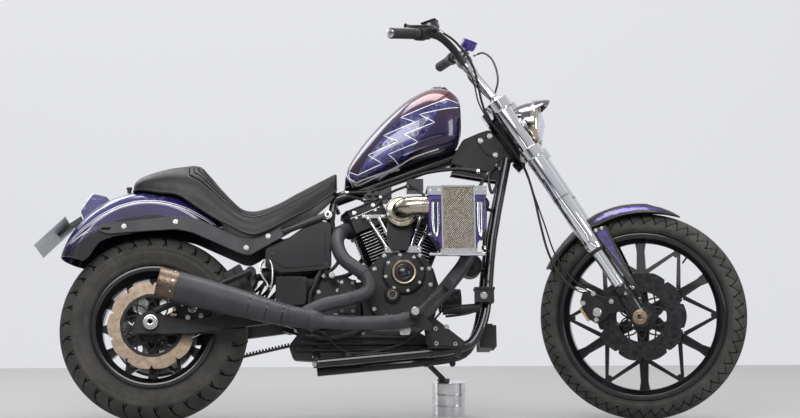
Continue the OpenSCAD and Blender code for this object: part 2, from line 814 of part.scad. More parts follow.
module muffler() {
    start = [428, -232.8, 322.8];
    way = unit([29, -246, 429] - start);
    color("#3b3d41") upright() translate(start)
        rotate([0, acos(way[2]), atan2(way[1], way[0])]) {
            cylinder(r1 = 33, r2 = 41, h = 85);
            translate([0, 0, 85]) cylinder(r1 = 41, r2 = 51, h = 245);
            translate([0, 0, 330]) difference() {
                cylinder(r1 = 51, r2 = 50, h = 84);
                translate([0, 0, 30]) cylinder(r = 38, h = 70);
            }
        }
    color("#2a2a2c") upright() {
        plate([[330, 290], [330, 326], [372, 326], [400, 300], [400, 280]], -198, -190);
        bar([360, -191, 309], [360, -swingarm_side - 11.2, 309], 9);
    }
}

module oil_filter() {
    color("#151516") upright() translate([946 + seat_gap, -30, 398]) rotate([0, 90, 0])
        cylinder(r = 38, h = 72);
}

module horn() {
    color("#151516") upright() {
        translate([1050, 0, 506]) across(38, -96, -40);
        bar([1070, -64, 500], [1106, -80, 486], 7);
        translate([1088, 0, 714]) across(28, -96, -48);
        bar([1100, -60, 706], [1140, -56, 698], 6);
    }
}

// Body

// Tank stations: place along the machine, bottom, top and half width
tank_stations = [[632, 781, 800, 38], [646, 783, 858, 66], [690, 790, 928, 92],
    [747, 812, 996, 112], [800, 836, 1048, 124], [852, 858, 1092, 130], [922, 884, 1129, 131],
    [975, 900, 1133, 122], [1008, 916, 1116, 106], [1030, 950, 1092, 84]];
tank_tunnel = 30;

module fuel_tank() {
    color("#35204f") upright() difference() {
        loft([for (s = tank_stations) let (mid = s[1] + (s[2] - s[1]) * 0.38)
            concat([[s[0], s[3] * 0.86, s[1]]],
                [for (k = [0:14]) let (a = -14 + 208 * k / 14, h = s[2] - mid)
                    [s[0], s[3] * sign(cos(a)) * pow(abs(cos(a)), 0.8),
                        mid + (sin(a) > 0 ? h * pow(sin(a), 0.9) : (mid - s[1]) * sin(a))]],
                [[s[0], -s[3] * 0.86, s[1]]])]);
        translate(seat_joint) rotate([0, -atan2(neck[2] - seat_joint[2],
            neck[0] - 20 - seat_joint[0]), 0])
            translate([0, -tank_tunnel, -80]) cube([560, 2 * tank_tunnel, 80 + backbone_r + seat_gap]);
    }
}

module fuel_cap() {
    color("#2c1c40") upright() translate([962, 0, 1129]) rotate([0, 4, 0])
        cylinder(r = 30, h = 13);
}

// Seat stations: place, side edge height, middle of the underside, top and half width
seat_stations = [[-73, 770, 776, 788, 50], [-40, 764, 773, 824, 84], [20, 752, 771, 846, 104],
    [80, 742, 764, 858, 112], [144, 700, 748, 863, 116], [180, 676, 730, 832, 118],
    [215, 654, 708, 792, 120], [255, 634, 676, 748, 122], [291, 612, 640, 714, 124],
    [331, 602, 622, 707, 126], [375, 618, 634, 718, 124], [420, 642, 656, 736, 120],
    [470, 670, 684, 765, 112], [519, 698, 710, 792, 98], [570, 740, 775, 820, 74],
    [608, 776, 795, 838, 46]];

// Radius of the fender's outside at a distance from the middle, and its height at a place
function crown_at(y) = fender_r - lookup(abs(y), [[0, 0], [20, 0], [54, 8], [84, 26], [98, 52]]);
function fender_top(x, y) = fender_z
    + sqrt(max(0, pow(crown_at(y), 2) - pow(x - fender_x, 2)));
// Underside of the seat at a station s, for a share k of the half width
function under(s, k) = let (wide = s[4] > fender_half + 5, y = k * (wide ? fender_half : s[4]),
    on_fender = s[0] < fender_x + 0.82 * fender_r)
    [s[0], y, on_fender ? max(s[1], fender_top(s[0], y) + 3 * seat_gap)
        : (abs(k) > 0.9 ? s[1] + 4 : s[2])];

module seat() {
    lip = 1.5;
    color("#1c1c1e") upright() loft([for (s = smooth(seat_stations, 3))
        let (inner = s[4] > fender_half + 5 ? fender_half + lip : s[4] * 0.97)
        concat([[s[0], s[4], s[1]]],
            [for (k = [0:10]) let (a = 15 + 15 * k)
                [s[0], s[4] * cos(a), s[1] + 6 + (s[3] - s[1] - 6) * pow(sin(a), 0.8)]],
            [[s[0], -s[4], s[1]], [s[0], -inner, s[1]]],
            [for (k = [-1, -0.84, -0.5, -0.2, 0.2, 0.5, 0.84, 1])
                under(s, abs(k) == 1 ? k * 0.94 : k)],
            [[s[0], inner, s[1]]])]);
}

// Space that the rear fender takes, with its seating gap
module fender_room() {
    translate([fender_x, 0, fender_z]) rotate([90, 0, 0])
        rotate_extrude(angle = 180, $fn = 128) fender_outline(-seat_gap);
}

module fender_outline(shrink) {
    h = fender_half - shrink;
    top = fender_r - shrink;
    polygon([[fender_low, -h], [top - 52, -h], [top - 26, -h + 14], [top - 8, -h + 44],
        [top, -20], [top, 20], [top - 8, h - 44], [top - 26, h - 14], [top - 52, h],
        [fender_low, h]]);
}

module rear_fender() {
    color("#3a2c82") upright() translate([fender_x, 0, fender_z]) rotate([90, 0, 0])
        rotate([0, 0, 36]) rotate_extrude(angle = 129, $fn = 128) difference() {
            fender_outline(0);
            translate([-1, 0]) fender_outline(fender_sheet);
        }
}

module fender_struts() {
    color("#26262a") upright() both_sides() {
        plate([[-178, 622], [-184, 642], [-166, 662], [70, 672], [170, 632], [285, 556],
            [423, 640], [430, 600], [300, 508], [276, 510], [150, 588], [60, 626]],
            fender_half + seat_gap, fender_half + 8);
        bar([424, fender_half + 4, 620], [575, fender_half + 4, 676], 12);
        translate([575, 0, 676]) across(16, 78, fender_half + 12);
    }
}

module side_panels() {
    color("#171719") upright() both_sides()
        plate([[368, 506], [370, 572], [576, 642], [562, 560], [552, 500], [420, 480]], 82, 89);
}

module tail_light() {
    color("#5a3a9c") upright() difference() {
        plate([[-236, 676], [-132, 740], [-140, 762], [-168, 776], [-208, 774], [-234, 756],
            [-242, 726]], -42, 42);
        fender_room();
    }
}

// Upper and lower edge of the tilted plate in the side view
plate_top = [-285, 671];
plate_low = [-387, 573];
plate_face = unit([plate_low[1] - plate_top[1], plate_top[0] - plate_low[0]]);

module plate_bracket() {
    seat = -seat_gap * plate_face;
    color("#18181a") upright() difference() {
        plate([plate_top + seat, plate_low + seat + [26, 25], plate_low + [34, 20],
            [-300, 610], [-256, 640], [-246, 690]], -36, 36);
        fender_room();
    }
}

module licence_plate() {
    color("#b9bcc0") upright() plate([plate_top, plate_low, plate_low + 3 * plate_face,
        plate_top + 3 * plate_face], -115, 115);
}

module drive_belt() {
    color("#151515") upright() translate([0, belt_in + belt_w, 0]) rotate([90, 0, 0])
        linear_extrude(belt_w) difference() {
            belt_outline(belt_thick + 1);
            belt_outline(1);
        }
}

module belt_outline(grow) {
    hull() {
        translate([0, rear_tyre_r]) circle(r = rear_pulley_r + grow, $fn = 96);
        translate(front_pulley) circle(r = front_pulley_r + grow, $fn = 64);
    }
}

module right_foot_controls() {
    color("#1b1b1d") upright() {
        plate([[905, 222], [1012, 222], [1020, 244], [900, 340], [880, 330]], -152, -144);
        bar([905, -145, 240], [905, -rail_side - 14, 224], 8);
        bar([1000, -145, 240], [1000, -rail_side - 14, 232], 8);
        translate([850, 0, 322]) across(14, -300, -240);
        plate([[834, 300], [834, 336], [866, 336], [908, 286], [902, 268], [884, 268]], -243,
            -234);
        bar([896, -150, 278], [896, -236, 278], 8);
        plate([[850, 318], [856, 304], [962, 396], [966, 410], [952, 412]], -252, -244);
        translate([956, 0, 412]) across(13, -292, -244);
        translate([950, -140, 348]) rotate([0, 86, 0]) cylinder(r = 15, h = 120);
        bar([1012, -144, 336], [1012, -140, 356], 6);
        translate([1058, -160, 374]) cube([58, 34, 46]);
        bar([1066, -140, 352], [1076, -142, 376], 8);
    }
}

module left_foot_controls() {
    color("#1b1b1d") upright() {
        translate([850, 0, 322]) across(14, 240, 300);
        bar([850, 170 + seat_gap, 322], [850, 242, 322], 10);
        plate([[838, 312], [838, 336], [930, 430], [944, 424]], 180, 188);
        translate([936, 0, 420]) across(12, 182, 250);
        bar([900, 170 + seat_gap, 392], [900, 184, 392], 9);
    }
}

// Stand

foot_h = 12;
disc_top = disc_h * disc_count;
stand_centre = to_floor([stand_pivot[0], stand_pivot[1], stand_pivot[2]]);

module stand_discs() {
    color("#b9babb") on_floor() translate([stand_foot[0] + 18, stand_foot[1], 0])
        difference() {
            cylinder(r = disc_r, h = disc_top);
            for (k = [1:2]) if (k < disc_count) translate([0, 0, k * disc_h]) difference() {
                cylinder(r = disc_r + 1, h = 1, center = true);
                cylinder(r = disc_r - 1.2, h = 2, center = true);
            }
        }
}

module side_stand() {
    foot = [stand_foot[0], stand_foot[1], disc_top + seat_gap];
    color("#161617") difference() {
        union() {
            on_floor() {
                translate(foot) cylinder(r = 20, h = foot_h);
                bar(stand_centre, foot + [0, 0, foot_h / 2 + 2], stand_r);
            }
            at_stand_pivot() translate([0, 0, -11]) cylinder(r = 15, h = 22);
        }
        at_stand_pivot() translate([0, 0, -30]) cylinder(r = stand_pin_r + shaft_gap, h = 60);
    }
}

module at_stand_pivot() {
    upright() translate(stand_pivot)
        rotate([0, acos(stand_way[2]), atan2(stand_way[1], stand_way[0])]) children();
}

frame_neck();
frame_downtubes();
frame_rails();
frame_uprights();
swingarm_lower();
swingarm_upper();
shock_absorber();
rear_axle();
rear_caliper();
crankcase();
rear_cylinder();
front_cylinder();
rocker_covers();
pushrod_tubes();
cam_cover();
primary_cover();
transmission();
intake_elbow();
air_cleaner();
air_filter();
exhaust_pipes();
muffler();
oil_filter();
horn();
fuel_tank();
fuel_cap();
seat();
rear_fender();
fender_struts();
side_panels();
tail_light();
plate_bracket();
licence_plate();
drive_belt();
right_foot_controls();
left_foot_controls();
stand_discs();
side_stand();
rear_tyre();
rear_wheel();
rear_brake_disc();
rear_pulley();
front_tyre();
front_wheel();
front_brake_disc();
fork_clamps();
fork_tubes();
fork_lugs();
front_axle();
bar_risers();
handlebar();
hand_grips();
hand_controls();
gauge_pod();
headlight_shell();
headlight_lens();
front_fender();
fender_stays();
front_caliper();
control_cables();
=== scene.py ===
# %% [markdown]
# # A long, low custom motorcycle, finished in Blender
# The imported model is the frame: it fixes every size and every place. Each cell below
# makes one piece or one finish of the machine and fits it to that frame.

# %% Load the frame
import bpy
import bmesh
import json
import math
from mathutils import Matrix, Vector


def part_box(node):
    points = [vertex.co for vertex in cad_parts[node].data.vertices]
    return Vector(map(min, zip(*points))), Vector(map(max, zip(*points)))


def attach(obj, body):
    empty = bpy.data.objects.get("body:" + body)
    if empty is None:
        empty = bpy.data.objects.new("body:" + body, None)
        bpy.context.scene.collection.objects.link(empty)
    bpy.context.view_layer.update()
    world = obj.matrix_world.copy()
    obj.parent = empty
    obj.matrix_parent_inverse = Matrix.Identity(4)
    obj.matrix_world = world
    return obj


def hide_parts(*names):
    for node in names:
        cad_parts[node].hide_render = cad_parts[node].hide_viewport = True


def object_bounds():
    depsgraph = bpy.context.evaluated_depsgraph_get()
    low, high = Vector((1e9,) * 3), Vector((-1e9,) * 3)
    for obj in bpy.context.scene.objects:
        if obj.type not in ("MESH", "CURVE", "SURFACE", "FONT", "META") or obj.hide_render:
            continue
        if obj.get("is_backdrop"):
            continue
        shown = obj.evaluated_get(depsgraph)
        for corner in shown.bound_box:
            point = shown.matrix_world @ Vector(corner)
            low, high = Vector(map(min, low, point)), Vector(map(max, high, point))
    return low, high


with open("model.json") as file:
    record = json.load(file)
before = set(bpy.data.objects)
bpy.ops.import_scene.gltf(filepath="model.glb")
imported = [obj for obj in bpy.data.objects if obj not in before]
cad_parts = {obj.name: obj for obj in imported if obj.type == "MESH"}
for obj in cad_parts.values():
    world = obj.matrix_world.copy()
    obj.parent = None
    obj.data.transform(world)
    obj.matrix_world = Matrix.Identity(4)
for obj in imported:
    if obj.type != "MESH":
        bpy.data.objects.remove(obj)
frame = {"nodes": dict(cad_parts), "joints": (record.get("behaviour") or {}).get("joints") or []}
cad_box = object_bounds()
scene = bpy.context.scene

# %% [markdown]
# The machine leans on its stand and its fork is turned, so no piece lies along the world's
# axes. Working in the machine's own frames is easier than turning each piece by hand. The
# rear axle and the steering axis both come from the joints, and they fix the upright frame:
# X ahead, Y to the machine's left and Z up, in millimetres from the floor below the axle.

# %% Frames of the machine, the steering and the wheels
RAKE = math.radians(32)
REAR_R, FRONT_R = 311, 345
FORK_OFFSET, LEG_SIDE = 50, 105


def joint(name):
    found = next(j for j in frame["joints"] if j["name"] == name)
    return Vector(found["pos_m"]), Vector(found["axis"]).normalized()


def basis(x, y, z, origin):
    """Matrix from millimetres along x, y and z to metres in the world."""
    turn = Matrix((x, y, z)).transposed().to_4x4()
    return Matrix.Translation(origin) @ turn @ Matrix.Scale(0.001, 4)


def shift(x=0.0, y=0.0, z=0.0):
    return Matrix.Translation((x, y, z))


def turned(degrees, axis="Y"):
    return Matrix.Rotation(math.radians(degrees), 4, axis)


rear_hub, left_way = joint("rear_wheel_spin")
_, steer_way = joint("steering")
front_hub, fork_left = joint("front_wheel_spin")
out_way = left_way.cross(steer_way).normalized()
ahead = out_way * math.cos(RAKE) - steer_way * math.sin(RAKE)
upward = ahead.cross(left_way)
UP = basis(ahead, left_way, upward, rear_hub - upward * REAR_R * 0.001)
fork_out = fork_left.cross(steer_way).normalized()
HEAD = basis(fork_out, fork_left, steer_way, front_hub - fork_out * FORK_OFFSET * 0.001)
FRONT = HEAD @ shift(FORK_OFFSET) @ turned(32)
REAR = UP @ shift(z=REAR_R)
LAMP = HEAD @ shift(104, 0, 741) @ turned(32)
print("wheelbase now:", round((front_hub - rear_hub).length, 3), "m")

# %% [markdown]
# A few short helpers draw the shapes that a workshop would: a turned part, a bent tube, a
# cut plate, a rod and a bolt. All of them add to one bmesh, so a whole set of bolts can be
# one light object.

# %% Helpers that add shapes to a bmesh
def placed(point, way, roll=0.0):
    """Matrix that stands Z along way at point."""
    turn = Vector(way).normalized().to_track_quat("Z", "Y").to_matrix().to_4x4()
    return Matrix.Translation(point) @ turn @ Matrix.Rotation(roll, 4, "Z")


def rod(bm, a, b, r, r_end=None, sides=32):
    a, b = Vector(a), Vector(b)
    middle = placed((a + b) / 2, b - a)
    bmesh.ops.create_cone(bm, cap_ends=True, segments=sides, radius1=r,
                          radius2=r if r_end is None else r_end, depth=(b - a).length,
                          matrix=middle)


def block(bm, low, high, turn=None):
    low, high = Vector(low), Vector(high)
    size = Matrix.Diagonal((high - low).to_4d())
    size[3][3] = 1.0
    where = Matrix.Translation((low + high) / 2) @ size
    bmesh.ops.create_cube(bm, size=1.0, matrix=(turn @ where) if turn else where)


def skin(bm, rings, closed=True, capped=True, material=0):
    """A grid bent onto rings of equally many points, its seam welded and its ends filled."""
    across, along = len(rings[0]), len(rings)
    grid = bmesh.ops.create_grid(bm, x_segments=across if closed else across - 1,
                                 y_segments=along - 1, size=1.0)["verts"]
    width = across + 1 if closed else across
    for i, vertex in enumerate(grid):
        vertex.co = rings[i // width][i % width % across]
    faces = {f for v in grid for f in v.link_faces}
    for face in faces:
        face.material_index = material
    if closed:
        seam = grid[0::width] + grid[width - 1::width]
        bmesh.ops.remove_doubles(bm, verts=seam, dist=1e-4)
    if capped:
        alive = {v for v in grid if v.is_valid}
        edges = [e for e in bm.edges if e.is_boundary and e.verts[0] in alive]
        ends = bmesh.ops.edgeloop_fill(bm, edges=edges)["faces"]
        for face in ends:
            face.material_index = material
    return [v for v in grid if v.is_valid]


def smooth_path(points, steps=6):
    """Points of a smooth curve through the given ones."""
    points = [Vector(p) for p in points]
    out = []
    for i in range(len(points) - 1):
        a, b = points[max(i - 1, 0)], points[i]
        c, d = points[i + 1], points[min(i + 2, len(points) - 1)]
        for k in range(steps):
            t = k / steps
            out.append(0.5 * (2 * b + (c - a) * t + (2 * a - 5 * b + 4 * c - d) * t * t
                              + (3 * b - a - 3 * c + d) * t ** 3))
    return out + [points[-1]]


def tube(bm, path, r, sides=20, capped=True, material=0, flat=1.0):
    """A round tube along a path. r is one radius, or a function of the share of the way."""
    path = [Vector(p) for p in path]
    last = len(path) - 1
    side = None
    rings = []
    for i, point in enumerate(path):
        way = (path[min(i + 1, last)] - path[max(i - 1, 0)]).normalized()
        if side is None:
            side = way.orthogonal().normalized()
        side = (side - way * side.dot(way)).normalized()
        other = way.cross(side)
        here = r(i / last) if callable(r) else r
        rings.append([point + here * (side * math.cos(a) + flat * other * math.sin(a))
                      for a in (math.tau * k / sides for k in range(sides))])
    return skin(bm, rings, True, capped, material)


def plate(bm, outline, y0, y1, material=0):
    """A sheet cut to an outline in the side view, from one side place to the other."""
    ring = [bm.verts.new((x, y0, z)) for x, z in outline]
    face = bm.faces.new(ring)
    face.material_index = material
    grown = bmesh.ops.extrude_face_region(bm, geom=[face])["geom"]
    moved = [g for g in grown if isinstance(g, bmesh.types.BMVert)]
    bmesh.ops.translate(bm, verts=moved, vec=(0, y1 - y0, 0))
    for f in {f for v in moved for f in v.link_faces}:
        f.material_index = material
    bmesh.ops.recalc_face_normals(bm, faces=list({f for v in ring for f in v.link_faces}
                                                 | {f for v in moved for f in v.link_faces}))


def slab(bm, outline, z0, z1, where=None, grow=0.0):
    """A flat piece cut to an outline seen along the local Z axis."""
    where = where or Matrix()
    ring = [bm.verts.new(where @ Vector((x + math.copysign(grow, x),
                                         y + math.copysign(grow, y), z0)))
            for x, y in outline]
    grown = bmesh.ops.extrude_face_region(bm, geom=[bm.faces.new(ring)])["geom"]
    bmesh.ops.translate(bm, verts=[g for g in grown if isinstance(g, bmesh.types.BMVert)],
                        vec=where.to_3x3() @ Vector((0, 0, z1 - z0)))


def turn_profile(bm, profile, where=None, steps=96, closed=False, material=0):
    """Points (radius, height) turned round the local Z axis of where."""
    where = where or Matrix()
    verts = [bm.verts.new(where @ Vector((r, 0, h))) for r, h in profile]
    pairs = list(zip(verts, verts[1:] + ([verts[0]] if closed else [])))
    edges = [bm.edges.new(p) for p in pairs if p[0] is not p[1]]
    before = set(bm.faces)
    bmesh.ops.spin(bm, geom=verts + edges, cent=where.translation, angle=math.tau,
                   axis=where.to_3x3() @ Vector((0, 0, 1)), steps=steps, use_merge=True)
    made = [f for f in bm.faces if f not in before]
    for face in made:
        face.material_index = material
    bmesh.ops.remove_doubles(bm, verts=list({v for f in made for v in f.verts}), dist=1e-4)
    return made


def bolt(bm, point, way, r=6.0, head=5.0, socket=True):
    """A cap screw's head with a washer under it, and its round socket."""
    where = placed(point, way)
    profile = [(0.01, head - 0.55 * head), (0.5 * r, head - 0.55 * head), (0.52 * r, head),
               (0.86 * r, head), (r, head * 0.8), (r, 0.8), (1.3 * r, 0.8), (1.3 * r, 0.0)]
    if not socket:
        profile = [(0.01, head), (0.55 * r, head * 0.94), (0.9 * r, head * 0.7)] + profile[5:]
    turn_profile(bm, profile, where, 12 if r < 9 else 24)


def hexagon(bm, point, way, r=8.0, high=6.0):
    """A six-sided nut head on a washer."""
    where = placed(point, way)
    rod(bm, where @ Vector((0, 0, 0)), where @ Vector((0, 0, 1.2)), r * 1.25, sides=24)
    rod(bm, where @ Vector((0, 0, 1)), where @ Vector((0, 0, high)), r, sides=6)


# %% Turning a bmesh into a finished piece
made_pieces = []


def piece(name, bm, where, body, finishes, stands_for=(), bevel=0.0, sharp=38,
          subdivide=0, recalc=True):
    """Places a bmesh on the machine as one object, and hangs it on its body."""
    bmesh.ops.transform(bm, matrix=where, verts=bm.verts)
    if recalc:
        bmesh.ops.recalc_face_normals(bm, faces=bm.faces)
    mesh = bpy.data.meshes.new(name)
    bm.to_mesh(mesh)
    bm.free()
    mesh.shade_smooth()
    mesh.set_sharp_from_angle(angle=math.radians(sharp))
    thing = bpy.data.objects.new(name, mesh)
    scene.collection.objects.link(thing)
    for finish in finishes if isinstance(finishes, (list, tuple)) else [finishes]:
        mesh.materials.append(finish)
    if bevel:
        edge = thing.modifiers.new("Eased edges", "BEVEL")
        edge.width = bevel * 0.001
        edge.segments = 2
        edge.limit_method = "ANGLE"
        edge.angle_limit = math.radians(sharp)
        edge.harden_normals = True
    if subdivide:
        rounder = thing.modifiers.new("Rounded", "SUBSURF")
        rounder.levels = rounder.render_levels = subdivide
    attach(thing, body)
    if stands_for:
        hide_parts(*stands_for)
    made_pieces.append(name)
    return thing


def repaint(node, finish):
    """Gives a carried-over node its real finish."""
    thing = frame["nodes"][node]
    thing.data.materials.clear()
    thing.data.materials.append(finish)


print("helpers ready")

# %% [markdown]
# Every finish is built from nodes. One helper makes the shader, and others add the grain:
# noise in the object's own coordinates, a colour ramp over it and a bump from it. Most
# finishes need no more than that, so grained() puts the whole recipe in one call.

# %% Helpers for finishes
def finish(name, colour, metal=0.0, rough=0.5, coat=0.0, coat_rough=0.03, specular=0.5):
    made = bpy.data.materials.new(name)
    made.use_nodes = True
    shader = made.node_tree.nodes["Principled BSDF"]
    shader.inputs["Base Color"].default_value = (*colour, 1)
    shader.inputs["Metallic"].default_value = metal
    shader.inputs["Roughness"].default_value = rough
    shader.inputs["Coat Weight"].default_value = coat
    shader.inputs["Coat Roughness"].default_value = coat_rough
    shader.inputs["Specular IOR Level"].default_value = specular
    made.diffuse_color = (*colour, 1)
    return made


def node(made, kind, **values):
    new = made.node_tree.nodes.new(kind)
    for key, value in values.items():
        if key in new.inputs:
            new.inputs[key].default_value = value
        else:
            setattr(new, key, value)
    return new


def wire(made, source, target):
    made.node_tree.links.new(source, target)


def shader_of(made):
    return made.node_tree.nodes["Principled BSDF"]


def spot(made):
    """The object's own coordinates."""
    return node(made, "ShaderNodeTexCoord").outputs["Object"]


def noise(made, scale, detail=4.0, rough=0.55, stretch=None):
    grain = node(made, "ShaderNodeTexNoise", Scale=scale, Detail=detail, Roughness=rough)
    place = spot(made)
    if stretch:
        mapping = node(made, "ShaderNodeMapping")
        mapping.inputs["Scale"].default_value = stretch
        wire(made, place, mapping.inputs["Vector"])
        place = mapping.outputs["Vector"]
    wire(made, place, grain.inputs["Vector"])
    return grain.outputs["Fac"]


def ramp(made, source, stops):
    bar = node(made, "ShaderNodeValToRGB")
    while len(bar.color_ramp.elements) < len(stops):
        bar.color_ramp.elements.new(0.5)
    for element, (place, colour) in zip(bar.color_ramp.elements, stops):
        element.position = place
        element.color = (*colour, 1) if len(colour) == 3 else colour
    wire(made, source, bar.inputs["Fac"])
    return bar.outputs["Color"]


def levels(made, source, low, high):
    """The source stretched to run from low to high."""
    span = node(made, "ShaderNodeMapRange")
    span.inputs["From Min"].default_value = 0.3
    span.inputs["From Max"].default_value = 0.7
    span.inputs["To Min"].default_value = low
    span.inputs["To Max"].default_value = high
    wire(made, source, span.inputs["Value"])
    return span.outputs["Result"]


def bump(made, source, depth, strength=1.0, below=None):
    relief = node(made, "ShaderNodeBump", Distance=depth * 0.001, Strength=strength)
    wire(made, source, relief.inputs["Height"])
    if below:
        wire(made, below, relief.inputs["Normal"])
    wire(made, relief.outputs["Normal"], shader_of(made).inputs["Normal"])
    return relief.outputs["Normal"]


def tint(made, source, stops):
    wire(made, ramp(made, source, stops), shader_of(made).inputs["Base Color"])


def scuff(made, scale, low, high, **more):
    """Roughness that wanders between two values."""
    wire(made, levels(made, noise(made, scale, **more), low, high),
         shader_of(made).inputs["Roughness"])


def grained(name, colour, grain, shades, scuffed=None, relief=None, **look):
    """A finish that wanders with noise: grain is the colour's noise and shades its ramp.
    scuffed is the roughness (scale, low, high), and relief is (noise, depth, strength)."""
    made = finish(name, colour, **look)
    tint(made, noise(made, *grain), shades)
    if scuffed:
        scuff(made, *scuffed)
    if relief:
        bump(made, noise(made, *relief[0]), *relief[1:])
    return made


# %% [markdown]
# Frame, covers and wheels are black, but not one black: the frame and wheels are wet gloss
# paint, the engine is a fine wrinkle coat, and most small castings are satin. Each gets its own roughness
# and grain, and a little dust that lightens the colour.

# %% Black finishes
GLOSS = grained("gloss black paint", (0.006, 0.006, 0.007), (9,),
                [(0.35, (0.005, 0.005, 0.006)), (0.75, (0.016, 0.016, 0.018))],
                relief=((160, 2), 0.02, 0.5), rough=0.22, coat=0.5, specular=0.3)
SATIN = grained("satin black coat", (0.01, 0.01, 0.011), (30,),
                [(0.3, (0.006, 0.006, 0.007)), (0.8, (0.015, 0.015, 0.017))],
                (45, 0.34, 0.52), ((700, 3), 0.05, 0.5), rough=0.42, specular=0.34)
WRINKLE = grained("wrinkle black coat", (0.012, 0.012, 0.013), (24,),
                  [(0.3, (0.008, 0.008, 0.009)), (0.8, (0.021, 0.021, 0.023))],
                  (60, 0.42, 0.6), ((1400, 6, 0.7), 0.12, 0.8), rough=0.5, specular=0.34)
STRUT = grained("satin strut coat", (0.03, 0.03, 0.032), (20,),
                [(0.3, (0.022, 0.022, 0.024)), (0.8, (0.045, 0.045, 0.048))],
                relief=((1100, 4), 0.04, 0.6), metal=0.35, rough=0.38)
print("black finishes:", 4)

# %% [markdown]
# Chrome is smooth metal with faint haze. Polished alloy keeps fine lines from the wheel,
# ground steel has coarser ones, and the fin edges are cut bright through the black.

# %% Bright metals
def chrome():
    made = finish("chrome plate", (0.8, 0.81, 0.83), metal=1.0, rough=0.04)
    scuff(made, 14, 0.03, 0.09)
    return made


def polished_alloy():
    made = finish("polished alloy", (0.78, 0.78, 0.79), metal=1.0, rough=0.16)
    tint(made, noise(made, 40), [(0.3, (0.68, 0.68, 0.69)), (0.7, (0.84, 0.84, 0.85))])
    scuff(made, 90, 0.1, 0.24, stretch=(1, 1, 12))
    bump(made, noise(made, 900, 2, stretch=(0.2, 0.2, 6)), 0.02, 0.4)
    return made


CHROME = chrome()
ALLOY = polished_alloy()
STEEL = grained("ground bronze steel", (0.5, 0.4, 0.3), (50,),
                [(0.3, (0.26, 0.2, 0.15)), (0.7, (0.42, 0.33, 0.25))],
                (120, 0.26, 0.42), ((1800, 2), 0.03, 0.5), metal=1.0, rough=0.34)
BRIGHT = grained("cut bright edge", (0.75, 0.75, 0.76), (200,),
                 [(0.3, (0.5, 0.5, 0.51)), (0.7, (0.82, 0.82, 0.83))], metal=1.0,
                 rough=0.24)
ZINC = grained("zinc screw", (0.6, 0.6, 0.58), (300,),
               [(0.3, (0.42, 0.42, 0.4)), (0.75, (0.7, 0.7, 0.68))], metal=1.0,
               rough=0.24)
GOLD = grained("gold passivate", (0.62, 0.45, 0.2), (180,),
               [(0.3, (0.4, 0.3, 0.16)), (0.7, (0.72, 0.55, 0.28))], metal=1.0,
               rough=0.3)
NICKEL = grained("warm nickel plate", (0.55, 0.49, 0.4), (12,),
                 [(0.3, (0.4, 0.35, 0.28)), (0.7, (0.62, 0.56, 0.46))], (30, 0.07, 0.2),
                 metal=1.0, rough=0.1)
SMOKED = grained("smoked chrome", (0.2, 0.19, 0.2), (9,),
                 [(0.3, (0.13, 0.125, 0.14)), (0.7, (0.3, 0.29, 0.3))], (20, 0.06, 0.16),
                 metal=1.0, rough=0.1)

# %% [markdown]
# The candy paint is a dark metallic base under tinted lacquer. Its flakes are tiny, so a
# very fine cell pattern shifts the colour a little, and a full clear coat gives the depth.
# The tank runs from violet in the flank to wine red at its crown, which is a soft ramp up
# the machine.

# %% Candy paints
def flakes(made, scale=2200.0):
    cells = node(made, "ShaderNodeTexVoronoi", Scale=scale)
    wire(made, spot(made), cells.inputs["Vector"])
    return cells.outputs["Color"]


def mixed(made, first, second, share=0.5, mode="MIX"):
    mix = node(made, "ShaderNodeMix", data_type="RGBA", blend_type=mode)
    for socket, value in ((mix.inputs[6], first), (mix.inputs[7], second)):
        if isinstance(value, tuple):
            socket.default_value = (*value, 1)
        else:
            wire(made, value, socket)
    if isinstance(share, float):
        mix.inputs[0].default_value = share
    else:
        wire(made, share, mix.inputs[0])
    return mix.outputs[2]


def candy(name, dark, light, metal=0.75):
    made = finish(name, light, metal=metal, rough=0.3, coat=1.0, coat_rough=0.02)
    soft = ramp(made, noise(made, 7, 3), [(0.3, dark), (0.72, light)])
    sparkle = ramp(made, flakes(made), [(0.2, (0.82, 0.82, 0.82)), (0.9, (1.25, 1.2, 1.3))])
    wire(made, mixed(made, soft, sparkle, 1.0, "MULTIPLY"), shader_of(made).inputs["Base Color"])
    bump(made, noise(made, 260, 2), 0.012, 0.4)
    return made


def tank_candy():
    made = finish("tank candy paint", (0.1, 0.02, 0.1), metal=0.55, rough=0.28, coat=1.0,
                  coat_rough=0.02)
    height = node(made, "ShaderNodeSeparateXYZ")
    wire(made, spot(made), height.inputs["Vector"])
    climb = node(made, "ShaderNodeMapRange")
    climb.inputs["From Min"].default_value = 0.86
    climb.inputs["From Max"].default_value = 1.12
    wire(made, height.outputs["Z"], climb.inputs["Value"])
    rise = ramp(made, climb.outputs["Result"], [(0.0, (0.018, 0.006, 0.024)),
                                                (0.45, (0.015, 0.008, 0.048)),
                                                (0.72, (0.032, 0.008, 0.036)),
                                                (1.0, (0.15, 0.032, 0.024))])
    sparkle = ramp(made, flakes(made), [(0.2, (0.8, 0.8, 0.8)), (0.9, (1.3, 1.2, 1.3))])
    wire(made, mixed(made, rise, sparkle, 1.0, "MULTIPLY"), shader_of(made).inputs["Base Color"])
    return made


def marbled():
    """The cloudy blue, violet and grey fill of the painted bands."""
    made = finish("marbled band paint", (0.1, 0.08, 0.35), metal=0.15, rough=0.28, coat=1.0,
                  coat_rough=0.02)
    cloud = node(made, "ShaderNodeTexNoise", Scale=26.0, Detail=8.0, Roughness=0.68,
                 Distortion=1.6)
    wire(made, spot(made), cloud.inputs["Vector"])
    tint(made, cloud.outputs["Fac"], [(0.34, (0.006, 0.005, 0.016)), (0.45, (0.035, 0.02, 0.19)),
                                      (0.55, (0.014, 0.02, 0.06)), (0.64, (0.16, 0.14, 0.34)),
                                      (0.74, (0.012, 0.008, 0.045))])
    return made


